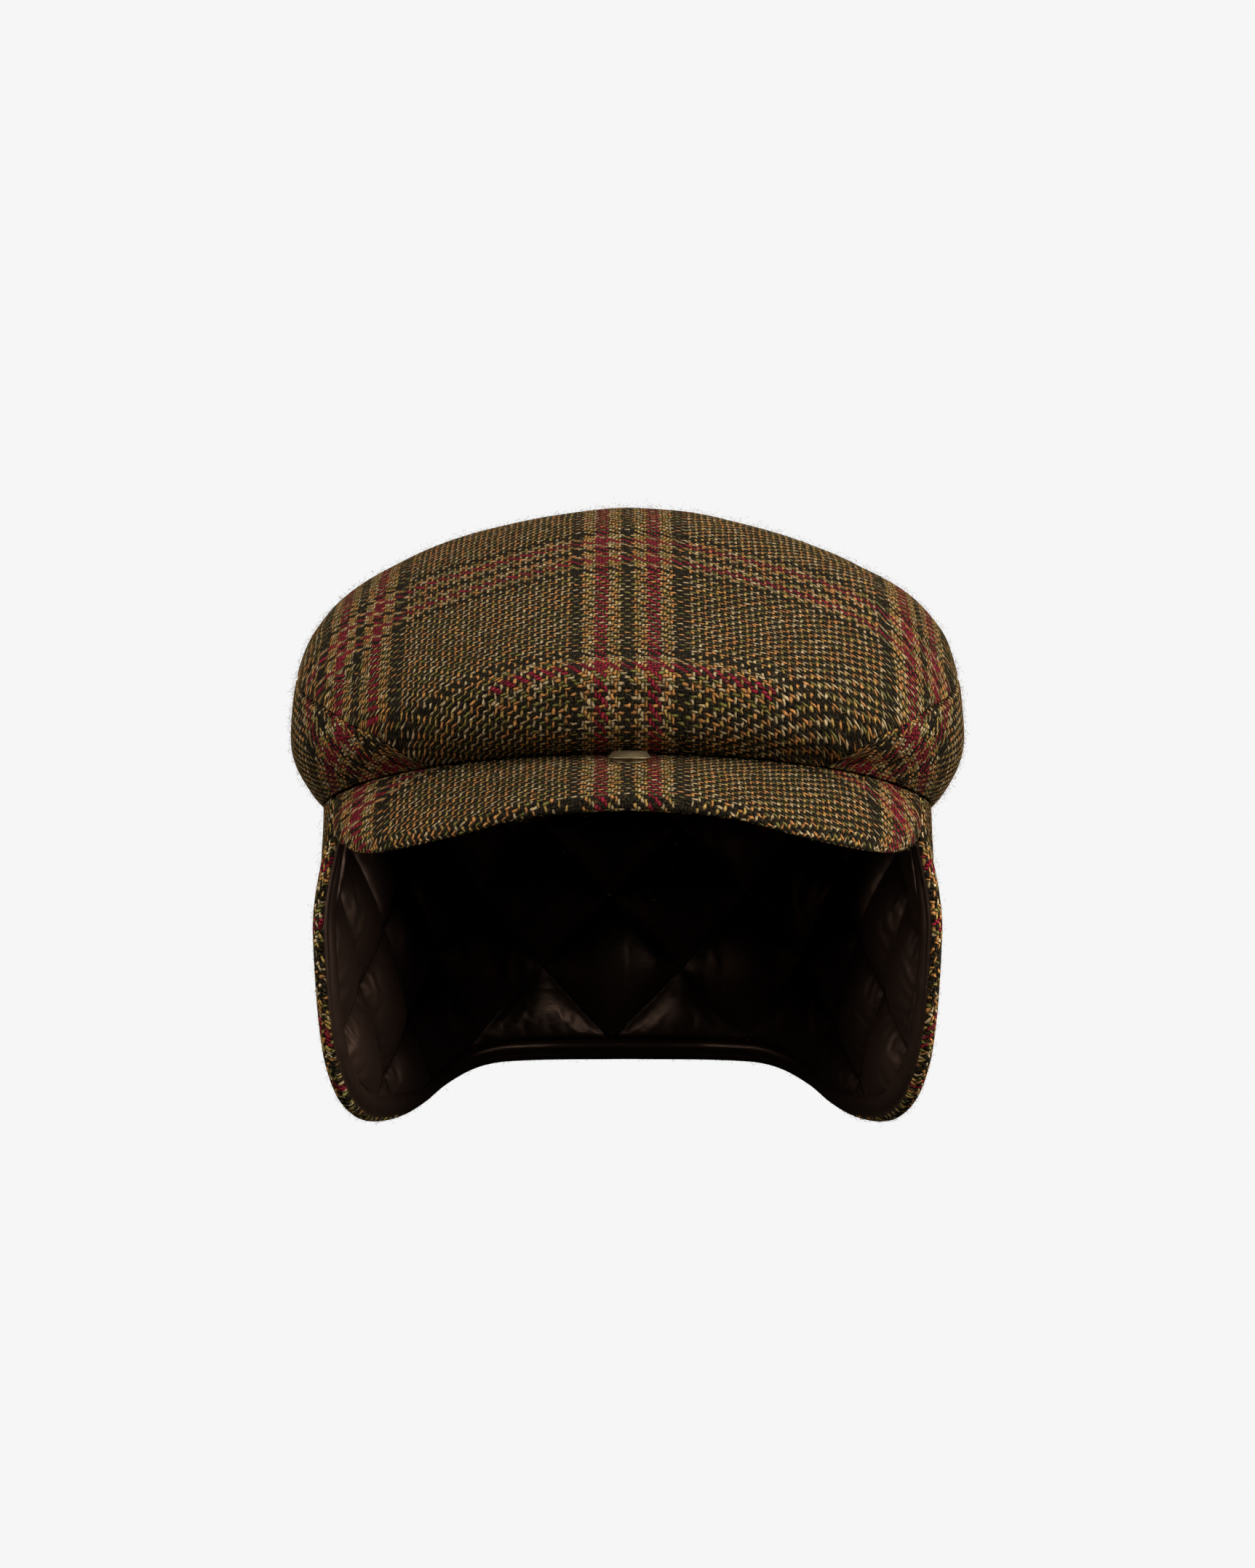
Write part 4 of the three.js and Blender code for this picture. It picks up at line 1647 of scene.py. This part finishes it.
    def build_lining(self) -> Piece:
        """Makes the quilted satin inside."""
        inset = self.half_edge + 4.4

        def place(across: Array, down: Array) -> Placed:
            """Runs inside the facing, and from the top down."""
            signed = 2 * across - 1
            along, z = self.form.on_side(signed, self.form.grid(np.abs(signed), down, inset))
            depth = np.full_like(along, self.lining_depth)
            return self.form.point(along, z, depth), self.form.cloth_uv(along, z)

        name, columns = "flap_quilted_lining", self.lining_columns
        piece = self.quilting.lay(name, columns, self.lining_rows, place, lambda p: -p * LEVEL)
        dress(piece, self.quilted, "satin", "flap_lining")
        return piece

    def build_stitches(self, thread: bpy.types.Material) -> Piece:
        """Makes the stitches of the quilting and of the facing's seam.

        Args:
            thread: Their material.
        Returns:
            All of them, as one mesh.
        """
        quilting, form = self.quilting, self.form
        starts, ends = [], []
        reach = np.arange(-240, 240, self.stitch_pitch)
        for lean in (1, -1):
            for line in range(-12, 13):
                for side in (0, 1):
                    u = reach + side * self.stitch_length
                    v = lean * (line * quilting.diagonal - u)
                    cloth = stack(u + quilting.shift[0], v + quilting.shift[1])
                    (ends if side else starts).append(cloth)
        places = []
        for cloth in (np.concatenate(starts), np.concatenate(ends)):
            along = cloth[:, 0]
            places.append(stack(along, cloth[:, 1] + form.bend * along**2))
        far = np.abs(places[0][:, 0])
        inside = self.inside(places[0], self.half_edge + 5.5) & (places[0][:, 1] < form.top(far) - 4)
        quilted = [self.on_lining(place[inside], self.lining_depth + 0.1) for place in places]
        way = np.arange(-238, 238, self.stitch_pitch)
        seam = []
        for shift in (0, self.stitch_length):
            at = form.edge_at(np.abs(way + shift), np.full(way.shape, self.half_edge + 4.0))
            at = at * stack(side_of(way + shift), np.ones_like(way))
            seam.append(self.on_lining(at, self.lining_depth + 0.7))
        both = [np.concatenate(pair) for pair in zip(quilted, seam)]
        piece = strands("flap_stitches", both[0], both[1], self.stitch_radius)
        dress(piece, thread, "satin")
        return piece

    def inside(self, place: Array, inset: float) -> Array:
        """Tells which (along, z) are inside the free edge."""
        count, corner = 400, 260
        way = np.linspace(0, self.form.whole_way, count)
        edge = self.form.edge_at(way, np.full(way.shape, inset))
        far, z = np.abs(place[:, 0]), place[:, 1]
        hem = np.interp(far, edge[:corner, 0], edge[:corner, 1])
        front = np.interp(z, edge[corner:, 1], edge[corner:, 0])
        return (z > hem) & (far < front)

    def on_lining(self, place: Array, depth: float) -> Array:
        """Finds points on the lining's side from (along, z)."""
        return self.form.point(place[:, 0], place[:, 1], np.full(len(place), depth))


@dataclass
class Snap:
    """The press snap under the front of the crown, turned in two halves."""

    brass: bpy.types.Material
    sides: int = 96
    socket_lean: float = 0.3
    seat_out: float = 0.245
    stud: tuple[tuple[float, float], ...] = ((4.3, 0.05), (4.3, 0.3), (2.2, 0.4), (2.2, 0.7))
    socket: tuple[tuple[float, float], ...] = (
        (5.2, 0.78),
        (5.65, 0.84),
        (5.75, 0.98),
        (5.6, 1.12),
        (4.5, 2.4),
        (4.2, 2.5),
        (3.9, 2.52),
    )

    def build(self, form: PeakForm) -> None:
        """Makes both halves, seated on the peak's face.

        Args:
            form: The peak, which they sit on.
        """
        middle, out, half = np.array([0.0]), np.array([self.seat_out]), np.array([form.thickness / 2])
        seat = form.point(middle, out, half)[0]
        ahead = form.point(middle, out + 0.01, half)[0]
        slope = math.atan2(seat[2] - ahead[2], seat[1] - ahead[1])
        halves = (
            ("snap_stud_disc", self.stud, slope, "snap_stud"),
            ("snap_socket_cap", self.socket, slope * self.socket_lean, "snap_socket"),
        )
        for name, section, lean, node in halves:
            mesh = self.turned(name, section)
            up = Vector((0, -math.sin(lean), math.cos(lean)))
            mesh.transform(Vector((0, 0, 1)).rotation_difference(up).to_matrix().to_4x4())
            lo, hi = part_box(node)
            place = Vector(((lo.x + hi.x) / 2, seat[1] * MM, seat[2] * MM))
            for vertex in mesh.vertices:
                vertex.co += place
            mesh.shade_smooth()
            dress(linked(name, mesh), self.brass, "antique_brass", node)

    def turned(self, name: str, section: Sequence[tuple[float, float]]) -> bpy.types.Mesh:
        """Turns a section of (radius, height) into a closed solid."""
        bm = bmesh.new()
        outline = [(0.0, section[0][1]), *section, (0.0, section[-1][1])]
        verts = [bm.verts.new((r * MM, 0, h * MM)) for r, h in outline]
        edges = [bm.edges.new(pair) for pair in zip(verts, verts[1:])]
        bmesh.ops.spin(
            bm,
            geom=verts + edges,
            axis=(0, 0, 1),
            cent=(0, 0, 0),
            angle=math.tau,
            steps=self.sides,
            use_merge=True,
        )
        bmesh.ops.remove_doubles(bm, verts=bm.verts, dist=1e-6)
        bmesh.ops.recalc_face_normals(bm, faces=bm.faces)
        return meshed(bm, name)


@dataclass
class Nap:
    """Loose wool fibres over a tweed piece."""

    wool: bpy.types.Material
    radius: float = 0.042
    length: float = 0.85

    def grow(self, piece: Piece, count: int, seed: int) -> Piece:
        """Grows fibres on a piece.

        Args:
            piece: The cloth.
            count: How many fibres.
            seed: Fixes the scatter.
        Returns:
            The fibres, as one mesh.
        """
        rng = np.random.default_rng(seed)
        mesh = piece.data
        area = np.zeros(len(mesh.polygons))
        mesh.polygons.foreach_get("area", area)
        pick = rng.choice(len(area), count, p=area / area.sum())
        out = face_values(mesh, "normal")[pick]
        reach = np.sqrt(area[pick])[:, None] / MM
        centre = face_values(mesh, "center")[pick] / MM
        root = centre + rng.normal(size=(count, 3)) * reach * 0.5 - out * 0.25
        lean = rng.normal(size=(count, 3))
        way = unit(out * 0.7 + lean - out * np.sum(out * lean, axis=1, keepdims=True) * 0.6)
        long = self.length * rng.lognormal(0, 0.4, count)[:, None]
        bend = unit(rng.normal(size=(count, 3)) - out * 0.9)
        grown = strands(f"{piece.name}_nap", root, root + way * long, self.radius, bend * long * 0.6)
        dress(grown, self.wool, "tweed")
        return grown


@dataclass
class Studio:
    """The pale stage, the soft lights and the camera."""

    distance: float = 1.5
    lens: float = 120.0
    sensor: float = 36.0
    look_z: float = 0.007
    floor_z: float = -0.3
    half_stage: float = 12.0
    glow: float = 0.004

    def build_stage(self) -> None:
        """Makes a floor that curves up into a backdrop."""
        bm = bmesh.new()
        floor = self.floor_z
        profile = ((-9.0, floor), (5.0, floor), (7.0, floor + 0.6), (7.6, floor + 2.6), (7.6, 9.0))
        verts = [bm.verts.new((-self.half_stage, y, z)) for y, z in profile]
        edges = [bm.edges.new(pair) for pair in zip(verts, verts[1:])]
        made = bmesh.ops.extrude_edge_only(bm, edges=edges)
        moved = [g for g in made["geom"] if isinstance(g, bmesh.types.BMVert)]
        bmesh.ops.translate(bm, verts=moved, vec=(2 * self.half_stage, 0, 0))
        bmesh.ops.recalc_face_normals(bm, faces=bm.faces)
        mesh = meshed(bm, "stage")
        if sum(face.normal.z for face in mesh.polygons) < 0:
            mesh.flip_normals()
        stage = linked("stage", mesh)
        mesh.materials.append(StageWhite().material())
        stage.visible_diffuse = False
        stage.visible_glossy = False
        stage.visible_shadow = False
        stage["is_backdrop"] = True

    def light(self, name: str, place: Sequence[float], size: tuple[float, float], power: float) -> None:
        """Hangs a soft light that faces the cap.

        Args:
            name: Its name.
            place: Where it hangs.
            size: Its width and height.
            power: Its power in watts.
        """
        lamp = bpy.data.lights.new(name, "AREA")
        lamp.shape = "RECTANGLE"
        lamp.size, lamp.size_y = size
        lamp.energy = power
        holder = linked(name, lamp)
        holder.location = place
        holder.rotation_euler = (-Vector(place)).to_track_quat("-Z", "Y").to_euler()

    def build_lights(self) -> None:
        """Hangs the soft lights and sets the faint light all round."""
        self.light("light_key_right", (1.0, -0.95, 1.45), (1.0, 1.0), 7)
        self.light("light_key_left", (-1.0, -0.95, 1.45), (1.0, 1.0), 6)
        self.light("light_side_left", (-1.62, -0.5, 0.35), (0.6, 0.9), 9)
        self.light("light_side_right", (1.62, -0.5, 0.35), (0.6, 0.9), 18)
        self.light("light_front_high", (0.3, -1.6, 1.25), (1.2, 0.8), 4)
        self.light("light_low_left", (-1.25, -1.7, 0.6), (0.4, 0.3), 2.2)
        self.light("light_low_right", (1.25, -1.7, 0.6), (0.4, 0.3), 2.4)
        self.light("light_back", (0.0, 0.9, 1.4), (1.6, 0.8), 5)
        world = bpy.data.worlds.new("studio")
        world.use_nodes = True
        background = world.node_tree.nodes["Background"]
        background.inputs["Color"].default_value = (1.0, 1.0, 1.0, 1)
        background.inputs["Strength"].default_value = self.glow
        bpy.context.scene.world = world
        bpy.context.scene.view_settings.view_transform = "Standard"

    def build_camera(self) -> None:
        """Sets the camera level with the cap, in front of it."""
        data = bpy.data.cameras.new("camera")
        data.lens = self.lens
        data.sensor_width = self.sensor
        camera = linked("camera", data)
        camera.location = (0, -self.distance, self.look_z)
        camera.rotation_euler = (math.pi / 2, 0, 0)
        bpy.context.scene.camera = camera


def write_size() -> None:
    """Works out the box of the solids and of the finished cap; nothing is written."""
    boxes = {"cad": CAD_BOX, "visual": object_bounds()}
    plain = {name: [list(low), list(high)] for name, (low, high) in boxes.items()}


def main() -> None:
    """Builds the cap's looks, in order."""
    logging.basicConfig(level=logging.INFO, format="%(name)s: %(message)s")
    studio = Studio()
    studio.build_camera()
    studio.build_stage()
    studio.build_lights()
    tweed, satin, brass = Tweed().material(), Satin().material(), AntiqueBrass().material()
    wool = WoolFibre().material()
    crown_form = CrownForm()
    peak_form = PeakForm(crown_form)
    flap_form = FlapForm(crown_form)
    crown = Crown(crown_form, tweed)
    top = crown.build_top()
    left, right = crown.build_side(1), crown.build_side(-1)
    quilting = Quilting()
    quilted = Satin(diagonal=quilting.diagonal, shift=quilting.shift).material()
    CrownLining(crown_form, quilted).build()
    peak = Peak(peak_form, tweed).build()
    # the edge's tweed is a lighter copy: painted light, as the edge gets less lamp light
    flap = Flap(flap_form, tweed, satin, quilted, Tweed(painted_light_lift=1.9).material())
    edge = flap.build_edge()
    outside = flap.build_outside()
    flap.build_facing()
    flap.build_lining()
    Snap(brass).build(peak_form)
    flap.build_stitches(Satin(rgb(13, 8, 6)).material())
    nap = Nap(wool)
    fibres = ((top, 32000), (left, 7000), (right, 7000), (peak, 9000), (outside, 12000), (edge, 5000))
    for seed, (piece, count) in enumerate(fibres):
        nap.grow(piece, count, seed)
    write_size()


if __name__ == "__main__":
    main()
